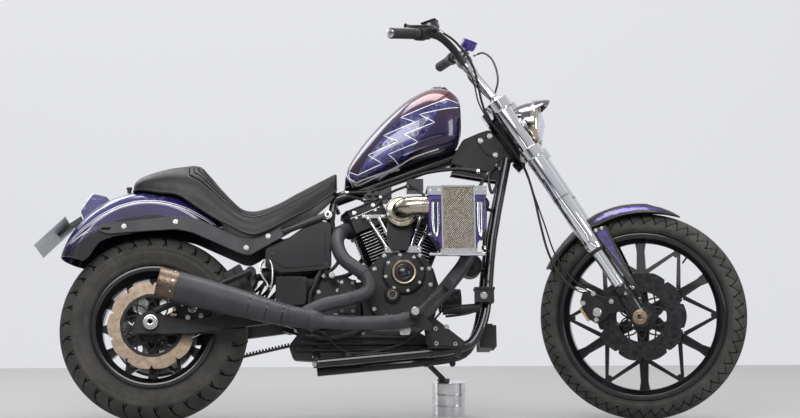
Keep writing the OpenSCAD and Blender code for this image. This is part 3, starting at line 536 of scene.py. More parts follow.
def streaked_violet():
    """Bright violet with long dark streaks, as on the forward fender."""
    made = finish("streaked violet paint", (0.05, 0.02, 0.24), metal=0.3, rough=0.3, coat=0.7,
                  coat_rough=0.03)
    tint(made, noise(made, 30, 6, 0.6, stretch=(0.5, 1, 2.2)),
         [(0.36, (0.006, 0.004, 0.02)), (0.46, (0.03, 0.012, 0.15)), (0.6, (0.06, 0.026, 0.27)),
          (0.72, (0.016, 0.008, 0.07))])
    return made


TANK_PAINT, MARBLE = tank_candy(), marbled()
PURPLE = candy("violet candy paint", (0.008, 0.004, 0.03), (0.022, 0.011, 0.078), 0.4)
VIVID = streaked_violet()
print("paints:", TANK_PAINT.name, MARBLE.name, PURPLE.name)


# %% Pinstripe white
STRIPE = grained("pinstripe white", (0.75, 0.74, 0.78), (90,),
                 [(0.3, (0.6, 0.59, 0.64)), (0.7, (0.85, 0.84, 0.88))], rough=0.3,
                 coat=1.0)

# %% [markdown]
# Rubber, leather and plastic are rough and catch only broad light. The tyre's tread is worn
# greyer than its grooves, whose floors also carry painted shade, the leather has a cell grain
# with fine creases between the cells, and the grips are moulded.

# %% Rubber, leather and plastic
def leather():
    made = finish("black leather", (0.012, 0.0115, 0.0115), rough=0.42, specular=0.34)
    tint(made, noise(made, 13, 5), [(0.3, (0.008, 0.0075, 0.0075)),
                                    (0.75, (0.018, 0.0175, 0.0175))])
    scuff(made, 40, 0.34, 0.5)
    cells = node(made, "ShaderNodeTexVoronoi", Scale=620.0, feature="DISTANCE_TO_EDGE")
    wire(made, spot(made), cells.inputs["Vector"])
    grain = bump(made, ramp(made, cells.outputs["Distance"],
                            [(0.0, (0, 0, 0)), (0.25, (1, 1, 1))]),
                 0.12, 0.5)
    bump(made, noise(made, 130, 4), 0.25, 0.35, grain)
    return made


def plastic():
    made = finish("moulded plastic", (0.012, 0.012, 0.013), rough=0.38)
    scuff(made, 80, 0.3, 0.48)
    bump(made, noise(made, 1500, 3), 0.03, 0.5)
    return made


TYRE = grained("tyre rubber", (0.028, 0.027, 0.026), (18, 6),
               [(0.3, (0.026, 0.0255, 0.024)), (0.75, (0.06, 0.057, 0.052))],
               (60, 0.62, 0.85), ((900, 4), 0.06, 0.6), rough=0.72, specular=0.35)
RUBBER = grained("moulded rubber", (0.014, 0.014, 0.014), (60,),
                 [(0.3, (0.01, 0.01, 0.01)), (0.75, (0.024, 0.024, 0.024))],
                 relief=((1200, 3), 0.05, 0.6), rough=0.6, specular=0.4)
LEATHER = leather()
PLASTIC = plastic()
THREAD = grained("seat thread", (0.06, 0.06, 0.062), (900,),
                 [(0.3, (0.04, 0.04, 0.042)), (0.7, (0.1, 0.1, 0.104))], rough=0.7)

# %% [markdown]
# The exhaust wears a matte ceramic coat, slightly chalky, and its tip is
# titanium that heat has turned straw and brown.

# %% Exhaust coat and burnt tip
def burnt_tip():
    made = finish("heat-stained titanium", (0.3, 0.23, 0.17), metal=1.0, rough=0.4)
    streaks = node(made, "ShaderNodeTexNoise", Scale=70.0, Detail=6.0, Distortion=3.0)
    wire(made, spot(made), streaks.inputs["Vector"])
    tint(made, streaks.outputs["Fac"], [(0.35, (0.05, 0.04, 0.036)), (0.5, (0.19, 0.14, 0.1)),
                                        (0.62, (0.1, 0.08, 0.075)), (0.72, (0.3, 0.24, 0.17))])
    bump(made, streaks.outputs["Fac"], 0.5, 0.7)
    return made


CERAMIC = grained("ceramic exhaust coat", (0.036, 0.037, 0.041), (11, 6),
                  [(0.3, (0.02, 0.021, 0.024)), (0.75, (0.042, 0.043, 0.048))],
                  (35, 0.42, 0.58), ((1300, 5), 0.05, 0.7), rough=0.5, specular=0.45)
BURNT = burnt_tip()


# %% Glass, mesh and the small finishes
def clear_glass():
    made = finish("moulded lens glass", (0.8, 0.83, 0.86), rough=0.03)
    shader_of(made).inputs["Transmission Weight"].default_value = 0.9
    shader_of(made).inputs["IOR"].default_value = 1.3
    bump(made, noise(made, 120, 1), 0.05, 0.2)
    return made


GLASS = clear_glass()
TAIL_LENS = grained("smoked tail lens", (0.42, 0.3, 0.36), (60,),
                    [(0.3, (0.3, 0.16, 0.24)), (0.7, (0.6, 0.5, 0.56))], rough=0.08,
                    coat=1.0)
MESH = grained("perforated filter plate", (0.5, 0.46, 0.38), (90,),
               [(0.3, (0.3, 0.27, 0.21)), (0.7, (0.52, 0.47, 0.38))], metal=1.0,
               rough=0.32)
PLATE = grained("blank plate", (0.3, 0.36, 0.37), (25,),
                [(0.3, (0.24, 0.3, 0.31)), (0.7, (0.36, 0.42, 0.43))],
                relief=((300,), 0.05, 0.4), rough=0.35, coat=0.4)
# Near-black finish: painted shade in tyre groove floors, strut slots, seat creases, the air cleaner's
# core and the muffler's throat; it is also the gauge's own black face.
BLACK_AND_SHADE = grained("unlit inside", (0.003, 0.003, 0.003), (40,),
               [(0.3, (0.002, 0.002, 0.002)), (0.7, (0.005, 0.005, 0.005))], rough=0.9,
               specular=0.1)
print("finishes:", len(bpy.data.materials))

# %% [markdown]
# The studio comes next: a pale floor and a wall behind it. They look even to the camera and
# in reflections, and they still take the machine's shadow, because only camera, glossy and
# transmission rays see the pale colour that is mixed in.

# %% Floor, wall, lamps and camera
def studio_paint(name, colour, glow):
    made = bpy.data.materials.new(name)
    made.use_nodes = True
    tree = made.node_tree
    shader_of(made).inputs["Base Color"].default_value = (*colour, 1)
    shader_of(made).inputs["Roughness"].default_value = 0.75
    pale = node(made, "ShaderNodeEmission")
    pale.inputs["Color"].default_value = (*colour, 1)
    path = node(made, "ShaderNodeLightPath")
    seen = node(made, "ShaderNodeMath", operation="MAXIMUM")
    more = node(made, "ShaderNodeMath", operation="MAXIMUM")
    share = node(made, "ShaderNodeMath", operation="MULTIPLY")
    share.inputs[1].default_value = glow
    blend = node(made, "ShaderNodeMixShader")
    wire(made, path.outputs["Is Camera Ray"], seen.inputs[0])
    wire(made, path.outputs["Is Glossy Ray"], seen.inputs[1])
    wire(made, seen.outputs[0], more.inputs[0])
    wire(made, path.outputs["Is Transmission Ray"], more.inputs[1])
    wire(made, more.outputs[0], share.inputs[0])
    wire(made, share.outputs[0], blend.inputs["Fac"])
    wire(made, shader_of(made).outputs["BSDF"], blend.inputs[1])
    wire(made, pale.outputs["Emission"], blend.inputs[2])
    wire(made, blend.outputs["Shader"], tree.nodes["Material Output"].inputs["Surface"])
    return made


CONTACT_Y = (UP @ Vector((0, 0, 0))).y
WALL_Y = CONTACT_Y + 2.2


def sheet_of_studio(name, corners, paint):
    bm = bmesh.new()
    bm.faces.new([bm.verts.new(c) for c in corners])
    mesh = bpy.data.meshes.new(name)
    bm.to_mesh(mesh)
    bm.free()
    mesh.materials.append(paint)
    thing = bpy.data.objects.new(name, mesh)
    scene.collection.objects.link(thing)
    thing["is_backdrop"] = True


sheet_of_studio("floor", [(-14, -14, 0), (14, -14, 0), (14, WALL_Y, 0), (-14, WALL_Y, 0)],
                studio_paint("studio floor", (0.44, 0.44, 0.44), 0.45))
sheet_of_studio("wall", [(-14, WALL_Y, 0), (14, WALL_Y, 0), (14, WALL_Y, 7), (-14, WALL_Y, 7)],
                studio_paint("studio wall", (0.74, 0.745, 0.775), 0.85))


def lamp(name, place, aim, size, power):
    data = bpy.data.lights.new(name, "AREA")
    data.shape = "RECTANGLE"
    data.size, data.size_y = size
    data.energy = power
    thing = bpy.data.objects.new(name, data)
    scene.collection.objects.link(thing)
    thing.location = place
    thing.rotation_euler = (Vector(aim) - Vector(place)).to_track_quat("-Z", "Y").to_euler()


lamp("key lamp", (-1.2, -3.6, 3.4), (0, -0.2, 0.6), (3.2, 1.6), 120)
lamp("top lamp", (0.2, 0.1, 3.9), (0.1, -0.1, 0.5), (3.6, 1.4), 110)
lamp("side lamp", (3.6, -2.4, 1.6), (0.5, -0.2, 0.7), (1.2, 2.4), 50)
lamp("low strip", (0.6, -5.4, 1.0), (0.3, 0, 0.7), (5.5, 0.5), 16)
lamp("back lamp", (-1.6, 1.8, 2.6), (0, 0, 0.7), (2.6, 1.4), 60)
world = scene.world or bpy.data.worlds.new("studio air")
scene.world = world
world.use_nodes = True
backdrop = world.node_tree.nodes["Background"]
backdrop.inputs["Strength"].default_value = 0.6
sky_height = node(world, "ShaderNodeSeparateXYZ")
wire(world, node(world, "ShaderNodeTexCoord").outputs["Generated"], sky_height.inputs["Vector"])
# A dark room lies round the horizon, and the light comes down from a broad pale ceiling.
sky = ramp(world, sky_height.outputs["Z"], [(0.0, (0.3, 0.3, 0.31)), (0.07, (0.08, 0.08, 0.09)),
                                            (0.16, (0.1, 0.1, 0.11)), (0.24, (0.7, 0.71, 0.73)),
                                            (0.6, (0.95, 0.96, 1.0))])
direct = node(world, "ShaderNodeLightPath").outputs["Is Camera Ray"]
wire(world, mixed(world, sky, (0.74, 0.745, 0.775), direct), backdrop.inputs["Color"])

VIEW_TURN = math.radians(3)
CAMERA_HIGH, CAMERA_FAR, CAMERA_AHEAD = 0.706, 6.2, 0.813
camera_data = bpy.data.cameras.new("camera")
camera_data.lens = 84.4
camera_data.sensor_width = 36
camera = bpy.data.objects.new("camera", camera_data)
scene.collection.objects.link(camera)
look = Vector((math.sin(VIEW_TURN), math.cos(VIEW_TURN), 0))
camera.location = Vector((rear_hub.x + CAMERA_AHEAD, CONTACT_Y, CAMERA_HIGH)) - look * CAMERA_FAR
camera.rotation_euler = look.to_track_quat("-Z", "Y").to_euler()
scene.camera = camera
scene.view_settings.view_transform = "Standard"
print("camera at", tuple(round(v, 3) for v in camera.location))

# %% [markdown]
# A tyre could be a plain ring with a bump map, but its tread would vanish against the light.
# Here the section is carried round the wheel in many small steps, and the points of the
# crown that lie in a groove sink by the groove's depth, so that the tread is really cut.

# %% Tyres
AXLE = Matrix.Rotation(math.radians(-90), 4, "X")


def step(value, edge, blur=0.9):
    return max(0.0, min(1.0, (edge - value) / blur + 0.5))


def front_groove(along, across):
    """Depth of the front tread's hooked grooves, from 0 to 1."""
    a = abs(across)
    pitch = math.tau * FRONT_R / 52
    bend = 0.8 * a if a < 38 else 30.4 - 1.1 * (a - 38)
    half = (pitch / 2 if across > 0 else 0)
    main = abs((along + bend + half) % pitch - pitch / 2)
    short = abs((along + 0.45 * a + half) % pitch - pitch / 4)
    long_cut = step(main, 2.9) * step(a, 72) * step(-a, -6)
    return max(long_cut, step(short, 2.2) * step(a, 70) * step(-a, -40))


def rear_groove(along, across):
    """Depth of the rear tread: a middle groove, long slanted cuts and short shoulder cuts."""
    a = abs(across)
    pitch = math.tau * REAR_R / 34
    half = pitch / 2 if across > 0 else 0
    bend = 0.9 * a - 0.004 * a * a
    main = abs((along + bend + half) % pitch - pitch / 2)
    short = abs((along - 0.35 * a + half) % pitch - pitch / 3.2)
    return max(step(a, 2.6), step(main, 3.2) * step(a, 92) * step(-a, -14),
               step(short, 2.6) * step(a, 94) * step(-a, -66))


def tyre(name, where, body, stands_for, r, width, crown, bead, rim, groove, depth, steps):
    edge = math.asin(width / 2 / crown)
    crown_cuts = 52
    tread = []
    for i in range(crown_cuts + 1):
        a = -edge + 2 * edge * i / crown_cuts
        tread.append((r - crown + crown * math.cos(a), crown * math.sin(a), crown * a))
    wall_r, wall_half = bead + 15, rim / 2 + 5
    top_r = r - crown + crown * math.cos(edge)
    wall = [(top_r - (top_r - wall_r) * t, width / 2 + 0.2 - (width / 2 - wall_half) * t ** 2.6)
            for t in (0.12, 0.14, 0.3, 0.33, 0.36, 0.55, 0.7, 0.78, 0.8, 0.9, 1.0)]
    ridge = {1: -0.9, 3: 0.5, 4: 0.5, 8: 0.8}
    wall = [(p[0], p[1] + ridge.get(i, 0)) for i, p in enumerate(wall)]
    foot = [(wall_r - 1, rim / 2 - 0.5), (bead + 0.4, rim / 2 - 0.5)]
    rings = []
    for k in range(steps + 1):
        turn = math.tau * (k % steps) / steps
        ring = []
        for radius, y, along_y in tread:
            sunk = radius - depth * groove(turn * r, along_y)
            ring.append((sunk, y))
        ring += wall + foot + [(p[0], -p[1]) for p in reversed(foot)]
        ring += [(p[0], -p[1]) for p in reversed(wall)]
        rings.append([(p[0] * math.cos(turn), p[1], p[0] * math.sin(turn)) for p in ring])
    bm = bmesh.new()
    skin(bm, rings, closed=True, capped=False)
    # A groove's floor takes the near-black unlit finish: painted shade, over rubber that is also less
    # worn there than the tread.
    for face in bm.faces:
        at = face.calc_center_median()
        if abs(at.y) < width / 2 and math.hypot(at.x, at.z) > top_r - 1:
            whole = r - crown + math.sqrt(max(crown ** 2 - at.y ** 2, 0))
            face.material_index = int(whole - math.hypot(at.x, at.z) > 0.55 * depth)
    bmesh.ops.remove_doubles(bm, verts=bm.verts, dist=1e-4)
    return piece(name, bm, where, body, [TYRE, BLACK_AND_SHADE], stands_for, sharp=50)


TYRE_STEPS = 1080
tyre("front_tyre_tread", FRONT, "front_wheel_body", ["front_tyre"], FRONT_R, 120, 64, 267, 84,
     front_groove, 4.0, TYRE_STEPS)
tyre("rear_tyre_tread", REAR, "rear_wheel_body", ["rear_tyre"], REAR_R, 165, 95, 191, 118,
     rear_groove, 4.5, TYRE_STEPS)
print("tyres cut in", TYRE_STEPS, "steps")

# %% [markdown]
# The cast wheels share one pattern: six thick spokes with a rib along each edge, and
# between them six slim V-shaped pairs that meet at the rim. Each spoke is a plate cut to
# shape in the side view and turned to its place, and a bevel eases its edges.

# %% Wheels
def turned_outline(outline, degrees):
    a = math.radians(degrees)
    return [(x * math.cos(a) - z * math.sin(a), x * math.sin(a) + z * math.cos(a))
            for x, z in outline]


def polar(r, degrees):
    a = math.radians(degrees)
    return Vector((r * math.cos(a), r * math.sin(a)))


def strut_outline(p0, p1, w0, w1):
    side = Vector((p0.y - p1.y, p1.x - p0.x)).normalized()
    return [tuple(p0 - side * w0 / 2), tuple(p1 - side * w1 / 2),
            tuple(p1 + side * w1 / 2), tuple(p0 + side * w0 / 2)]


def rim_profile(bead, rim):
    half = [(bead - 22, 0), (bead - 22, rim / 2 - 16), (bead - 19, rim / 2 - 11),
            (bead - 10, rim / 2 - 3), (bead - 7.5, rim / 2 + 1), (bead - 6, rim / 2 + 4.5),
            (bead - 4, rim / 2 + 5.8), (bead + 9, rim / 2 + 6), (bead + 12, rim / 2 + 4.8),
            (bead + 13, rim / 2 + 2), (bead + 12, rim / 2 + 0.3), (bead + 0.1, rim / 2),
            (bead, rim / 2 - 12), (bead - 14, rim / 2 - 22), (bead - 14, 0)]
    return half + [(r, -y) for r, y in reversed(half[1:-1])]


def cast_wheel(name, where, body, stands_for, bead, rim, root, hub):
    bm = bmesh.new()
    turn_profile(bm, rim_profile(bead, rim), AXLE, 160, closed=True)
    end = bead - 15
    for k in range(6):
        a = 90 + 60 * k
        web = [(40, -19), (80, -15), (end - 30, -10), (end, -15), (end, 15), (end - 30, 10),
               (80, 15), (40, 19)]
        plate(bm, turned_outline(web, a), -8, 8)
        for side in (-1, 1):
            rib = [(44, side * 22), (84, side * 18.5), (end - 34, side * 13), (end, side * 19),
                   (end, side * 12), (end - 34, side * 7), (84, side * 11.5), (44, side * 13)]
            plate(bm, turned_outline(rib, a), -16, 16)
        for lean in (-1, 1):
            foot = polar(root, a + lean * 6)
            tip = polar(end + 1, a + lean * 30)
            plate(bm, strut_outline(foot, tip, 15, 10), -11, 11)
        plate(bm, turned_outline([(end - 26, -5), (end + 1, -17), (end + 1, 17), (end - 26, 5)],
                                 a + 30), -12, 12)
    profile = [(12.6, -hub), (33, -hub), (36, -hub + 3), (36, -20), (50, -15), (53, -10), (53, 10),
               (50, 15), (36, 20), (36, hub - 3), (33, hub), (12.6, hub)]
    turn_profile(bm, profile, AXLE, 64, closed=True)
    valve = polar(end - 2, 52)
    inner = polar(end - 30, 52)
    rod(bm, (valve.x, 0, valve.y), (inner.x, 9, inner.y), 3.6, 2.8, 16)
    return piece(name, bm, where, body, GLOSS, stands_for, bevel=1.4)


cast_wheel("front_wheel_casting", FRONT, "front_wheel_body", ["front_wheel"], 267, 84, 150, 72)
cast_wheel("rear_wheel_casting", REAR, "rear_wheel_body", ["rear_wheel"], 191, 118, 95, 118)
print("wheels:", made_pieces[-2:])

# %% [markdown]
# Each brake disc is a waved ring on a laced carrier: pairs of thin arms cross each other
# like wire spokes. The ring's section is carried round in small steps while its outer and
# inner radius follow the wave, and its outer edge has ten short cuts.

# %% Brake discs
def waved_ring(bm, outer, inner, y, thick, waves, cut):
    steps = 360
    rings = []
    for k in range(steps + 1):
        a = math.tau * (k % steps) / steps
        phase = (a * waves / math.tau) % 1.0
        r_out = outer - 2 + 2 * math.cos(waves * a) - cut * (1 - min(1, abs(phase - 0.5) / 0.07))\
            * (1 if abs(phase - 0.5) < 0.07 else 0)
        r_in = inner + 2.2 * math.cos(waves * a + 1.3)
        ring = [(r_out, y - thick / 2), (r_out, y + thick / 2), (r_in, y + thick / 2),
                (r_in, y - thick / 2)]
        rings.append([(p[0] * math.cos(a), p[1], p[0] * math.sin(a)) for p in ring])
    skin(bm, rings, closed=True, capped=False)
    bmesh.ops.remove_doubles(bm, verts=bm.verts, dist=1e-4)


def laced_carrier(bm, inner, y, hub_r, arms):
    turn_profile(bm, [(hub_r, y - 5), (hub_r + 11, y - 5), (hub_r + 13, y - 2),
                      (hub_r + 13, y + 2),
                      (hub_r + 11, y + 5), (hub_r, y + 5)], AXLE, 64, closed=True)
    turn_profile(bm, [(inner - 9, y - 3.4), (inner + 1, y - 3.4), (inner + 2, y),
                      (inner + 1, y + 3.4),
                      (inner - 9, y + 3.4)], AXLE, 96, closed=True)
    for k in range(arms):
        a = 360 * k / arms
        for lean in (-1, 1):
            points = [polar(hub_r + 8, a), polar((hub_r + inner) / 2, a + lean * 9),
                      polar(inner - 4, a + lean * 26)]
            path = smooth_path([(p.x, y + lean * 1.4, p.y) for p in points], 5)
            tube(bm, path, 2.7, 8)
    for k in range(arms // 2):
        spot_at = polar(inner - 3, 720 * k / arms + 9)
        rod(bm, (spot_at.x, y - 5, spot_at.y), (spot_at.x, y + 5, spot_at.y), 4.6, sides=16)


DISC_BLACK = finish("black brake steel", (0.028, 0.028, 0.03), metal=0.9, rough=0.4)
tint(DISC_BLACK, noise(DISC_BLACK, 70), [(0.3, (0.018, 0.018, 0.02)), (0.7, (0.05, 0.05, 0.052))])
for label, where, body, part, outer, inner, y, ring_finish in (
        ("front", FRONT, "front_wheel_body", "front_brake_disc", 149, 92, -62, DISC_BLACK),
        ("rear", REAR, "rear_wheel_body", "rear_brake_disc", 146, 103, -91, STEEL)):
    bm = bmesh.new()
    waved_ring(bm, outer, inner, y, 5, 10, 11)
    piece(label + "_disc_ring", bm, where, body, ring_finish, [part], bevel=0.4)
    bm = bmesh.new()
    laced_carrier(bm, inner, y, 37, 10)
    piece(label + "_disc_carrier", bm, where, body, SATIN)
print("discs:", 2)


# %% Axle ends
def axle_end(name, where, body, y, gold_face):
    """A stepped collar with a castle nut's slots and a hollow axle, on the right side."""
    bm = bmesh.new()
    base = where @ shift(0, y, 0) @ Matrix.Rotation(math.radians(90), 4, "X")
    turn_profile(bm, [(8.2, 2), (8.2, 17), (11, 18), (13, 17.5), (13, 12), (19.5, 12), (20, 11),
                      (20, 3),
                      (24, 2.4), (24, 0), (8.2, 0)], Matrix(), 48, closed=True)
    for k in range(6):
        spot_at = polar(17, 60 * k)
        block(bm, (spot_at.x - 2.6, spot_at.y - 2.6, 9), (spot_at.x + 2.6, spot_at.y + 2.6, 14))
    return piece(name, bm, base, body, gold_face, bevel=0.5)


axle_end("front_axle_nut", FRONT, "steering_head", -137, STEEL)
axle_end("rear_axle_nut", REAR, "chassis", -164, ZINC)
repaint("front_axle", STEEL)
repaint("rear_axle", ZINC)

# %% [markdown]
# The fuel tank is a teardrop: low and narrow at the seat, tall and wide at the neck. A
# loft through stations along the backbone gives that shape, and its rings close to a
# rounded nose and tail. Painted bands need the real surface under them, so a search tree of
# the tank is kept to lay them on.

# %% Fuel tank
from mathutils.bvhtree import BVHTree

TANK = [(632, 781, 800, 38), (646, 783, 858, 66), (690, 790, 928, 92), (747, 812, 996, 112),
        (800, 836, 1048, 124), (852, 858, 1092, 130), (922, 884, 1129, 131),
        (975, 900, 1133, 122), (1008, 916, 1116, 106), (1030, 950, 1092, 84)]


def surface_tree(bm):
    return BVHTree.FromBMesh(bm)


def tank_ring(x, low, top, half, sides=72):
    middle = low + (top - low) * 0.38
    ring = []
    for k in range(sides):
        a = math.tau * k / sides
        c, s = math.cos(a), math.sin(a)
        y = half * math.copysign(abs(c) ** 0.8, c)
        z = middle + ((top - middle) * s ** 0.92 if s > 0 else (middle - low) * -(abs(s) ** 0.5))
        ring.append(Vector((x, y, z)))
    return ring


def shrunk(ring, share, x=None):
    centre = sum(ring, Vector()) / len(ring)
    out = [centre + (p - centre) * share for p in ring]
    return out if x is None else [Vector((x, p.y, p.z)) for p in out]


def fuel_tank():
    stations = smooth_path([Vector(s[:3]) for s in TANK], 5)
    halves = smooth_path([Vector((s[3], 0, 0)) for s in TANK], 5)
    rings = [tank_ring(s.x, s.y, s.z, h.x) for s, h in zip(stations, halves)]
    nose, tail = rings[-1], rings[0]
    rings = [shrunk(tail, f, 632 + b) for f, b in ((0.25, 0.6), (0.62, 1.4), (0.86, 4))] \
        + rings[2:-2] + [shrunk(nose, f, 1030 - b) for f, b in ((1.0, 9), (0.97, 4), (0.88, 1.5),
                                                              (0.62, 0.4), (0.25, 0.2))]
    bm = bmesh.new()
    skin(bm, rings)
    bmesh.ops.recalc_face_normals(bm, faces=bm.faces)
    tree = surface_tree(bm)
    piece("fuel_tank_shell", bm, UP, "chassis", TANK_PAINT, ["fuel_tank"],
          sharp=60)
    return tree


tank_tree = fuel_tank()
bm = bmesh.new()
turn_profile(bm, [(0.01, 9), (16, 9), (19, 7.5), (21, 9), (27, 8.4), (30, 5), (31, 0), (34, -1.5),
                  (0.01, -1.5)], shift(962, 0, 1131) @ turned(5), 64)
for k in range(8):
    spot_at = polar(24, 45 * k)
    rod(bm, (962 + spot_at.x, spot_at.y, 1139), (962 + spot_at.x, spot_at.y, 1141.5), 2.4,
        sides=12)
piece("fuel_cap_flush", bm, UP, "chassis", GLOSS, ["fuel_cap"], bevel=0.4)
print("tank laid out over", TANK[-1][0] - TANK[0][0], "mm")

# %% [markdown]
# Painted bands and pinstripes follow the panel that they lie on. Each is drawn flat in the
# side view, cut into small faces, and then every point is dropped onto the panel from the
# side and lifted by a hair, as thick as a coat of paint.

# %% Painted bands and pinstripes
def dropped(tree, x, z, side, lift):
    """The place on the panel that shows at x, z from one side, lifted along its normal."""
    start = Vector((x, 400 * side, z))
    hit, normal, _, _ = tree.ray_cast(start, Vector((0, -side, 0)))
    if hit is None:
        near, normal, _, _ = tree.find_nearest(Vector((x, 60 * side, z)))
        hit = near
    if normal.y * side < 0:
        normal = -normal
    return hit + normal * lift


def stripe(bm, tree, points, side, width=2.4, steps=8, lift=0.5):
    """A thin raised line of paint through the points."""
    flat = smooth_path([(x, 0, z) for x, z in points], steps)
    last = len(flat) - 1
    rings = []
    for i, p in enumerate(flat):
        way = (flat[min(i + 1, last)] - flat[max(i - 1, 0)]).normalized()
        aside = Vector((way.z, 0, -way.x)) * width / 2
        a, b = p + aside, p - aside
        rings.append([dropped(tree, a.x, a.z, side, lift), dropped(tree, b.x, b.z, side, lift),
                      dropped(tree, b.x, b.z, side, -0.3), dropped(tree, a.x, a.z, side, -0.3)])
    skin(bm, rings)


def straight(points, every=10.0):
    """Points along straight runs, close enough to follow a curved panel."""
    out = []
    for (x0, z0), (x1, z1) in zip(points, points[1:]):
        count = max(1, round(math.hypot(x1 - x0, z1 - z0) / every))
        out += [(x0 + (x1 - x0) * k / count, z0 + (z1 - z0) * k / count) for k in range(count)]
    return out + [points[-1]]


def painted_area(bm, tree, outline, side, lift, cell=9.0):
    """A flat outline cut into small faces and laid on the panel."""
    work = bmesh.new()
    face = work.faces.new([work.verts.new((x, 0, z)) for x, z in outline])
    bmesh.ops.triangulate(work, faces=[face])
    xs, zs = [p[0] for p in outline], [p[1] for p in outline]
    for low, high, axis in ((min(xs), max(xs), 0), (min(zs), max(zs), 2)):
        for k in range(1, int((high - low) / cell) + 1):
            at, normal = Vector(), Vector()
            at[axis], normal[axis] = low + k * cell, 1
            bmesh.ops.bisect_plane(work, geom=work.verts[:] + work.edges[:] + work.faces[:],
                                   plane_co=at, plane_no=normal, dist=0.01)
    grown = bmesh.ops.extrude_face_region(work, geom=work.faces[:])["geom"]
    top = {g for g in grown if isinstance(g, bmesh.types.BMVert)}
    for v in work.verts:
        v.co = dropped(tree, v.co.x, v.co.z, side, lift if v in top else -0.4)
    keep = bpy.data.meshes.new("band")
    work.to_mesh(keep)
    work.free()
    bm.from_mesh(keep)
    bpy.data.meshes.remove(keep)


UPPER_BOLT = [(1019, 1066), (979, 1074), (822, 1008), (870, 988), (764, 946), (812, 922),
              (712, 881), (758, 849), (677, 816), (650, 829)]
LOWER_BOLT = [(650, 806), (672, 794), (820, 846), (778, 879), (878, 919), (833, 946), (935, 987),
              (884, 1015), (1019, 1049)]
LOW_LINES = [[(644, 842), (640, 826), (652, 800), (676, 784), (760, 817), (858, 872), (950, 905)],
             [(650, 829), (648, 816), (658, 800), (680, 790), (756, 822), (820, 852)]]
for side, label in ((-1, "right"), (1, "left")):
    bm = bmesh.new()
    painted_area(bm, tank_tree, UPPER_BOLT + LOWER_BOLT, side, 0.35)
    piece("tank_band_" + label, bm, UP, "chassis", MARBLE, sharp=60)
    bm = bmesh.new()
    for run in (UPPER_BOLT, LOWER_BOLT):
        stripe(bm, tank_tree, straight(run), side, 2.6, 1, 0.9)
    for run in LOW_LINES:
        stripe(bm, tank_tree, run, side, 2.2, 8, 0.7)
    piece("tank_pinstripes_" + label, bm, UP, "chassis", STRIPE, sharp=60)
print("tank bands:", made_pieces[-4:])

# %% [markdown]
# The rear fender is one arc of deep sheet. Its section is carried round the arc, and the
# points of the section slide with the painted edge, so that the paint line is a real edge in
# the mesh and not a ragged one.

# %% Rear fender
FENDER_X, FENDER_Z = -17, 470
CROWN = [(306, 0), (305.4, 20), (299, 50), (283, 80), (262, 95), (250, 98)]
PAINT_EDGE = [(36, 240), (60, 216), (100, 206), (133.4, 222.8), (139.1, 229), (156.8, 262),
              (164.3, 286), (166, 288)]
LOWER_EDGE = [(36, 225), (46, 208), (60, 182), (80, 160), (98, 153), (115, 158), (130, 178),
              (143.5, 199), (159.5, 203), (164.7, 216), (166, 218)]
BAND_EDGE = [(36, 286), (52, 268), (69, 261), (86, 258), (103, 258), (118, 259), (137, 266),
             (150, 280), (166, 305)]


def looked_up(table, at):
    for (a0, v0), (a1, v1) in zip(table, table[1:]):
        if at <= a1:
            return v0 + (v1 - v0) * max(0, at - a0) / (a1 - a0)
    return table[-1][1]


def fender_half_section(angle):
    """Points (radius, side) from the crown down, in runs that end at the band and paint edges."""
    crown = [(p.x, p.y) for p in smooth_path([(r, y, 0) for r, y in CROWN], 4)]
    band, paint = looked_up(BAND_EDGE, angle), looked_up(PAINT_EDGE, angle)
    count = 9

    def at_radius(r):
        for (r0, y0), (r1, y1) in zip(crown, crown[1:]):
            if r >= r1:
                return y0 + (y1 - y0) * (r0 - r) / max(r0 - r1, 1e-6)
        return 98

    def run(high, low):
        return [(high + (low - high) * k / count, at_radius(high + (low - high) * k / count))
                for k in range(1, count + 1)]
    top = 305.9
    upper = [(top - (top - band) * (k / count) ** 2, 0) for k in range(count + 1)]
    upper = [(r, at_radius(r)) for r, _ in upper]
    return upper + run(band, paint) + run(paint, looked_up(LOWER_EDGE, angle))


def rear_fender():
    steps = 120
    outer = []
    for i in range(steps + 1):
        angle = 36.3 + 128.4 * i / steps
        a = math.radians(angle)
        half = fender_half_section(angle)
        ring = [(r, -y) for r, y in reversed(half)] + half[1:]
        outer.append([Vector((FENDER_X + r * math.cos(a), y, FENDER_Z + r * math.sin(a)))
                      for r, y in ring])
    bm = bmesh.new()
    skin(bm, outer, closed=False, capped=False)
    tree = surface_tree(bm)
    width = len(outer[0])
    runs = 9
    bm.faces.ensure_lookup_table()
    for index, face in enumerate(bm.faces):
        column = index % (width - 1)
        from_edge = min(column, width - 2 - column)
        face.material_index = 2 if from_edge < runs else (1 if from_edge < 2 * runs else 0)
    bmesh.ops.recalc_face_normals(bm, faces=bm.faces)
    middle = max(bm.faces, key=lambda f: f.calc_center_median().z)
    if middle.normal.z < 0:
        bmesh.ops.reverse_faces(bm, faces=bm.faces)
    bmesh.ops.solidify(bm, geom=bm.faces[:], thickness=3.0)
    piece("rear_fender_sheet", bm, UP, "chassis", [MARBLE, PURPLE, GLOSS],
          ["rear_fender"], sharp=50, recalc=False)
    return tree


fender_tree = rear_fender()


def fender_place(angle, r):
    a = math.radians(angle)
    return FENDER_X + r * math.cos(a), FENDER_Z + r * math.sin(a)


for side, label in ((-1, "right"), (1, "left")):
    bm = bmesh.new()
    for inset, first, last in ((0, 38, 162), (6, 40, 157)):
        run = [fender_place(a, looked_up(BAND_EDGE, a) - inset) for a in range(first, last, 4)]
        stripe(bm, fender_tree, run, side, 1.5, 4, 0.7)
    for inset in (0, 8):
        run = [(-271 + inset, 584 + inset), (-237 + inset, 610 + inset), (-205, 624 + inset),
               (-178, 633 + inset)]
        stripe(bm, fender_tree, run, side, 1.5, 6, 0.7)
    piece("fender_pinstripes_" + label, bm, UP, "chassis", STRIPE, sharp=60)
print("rear fender with", 2, "lines a side")


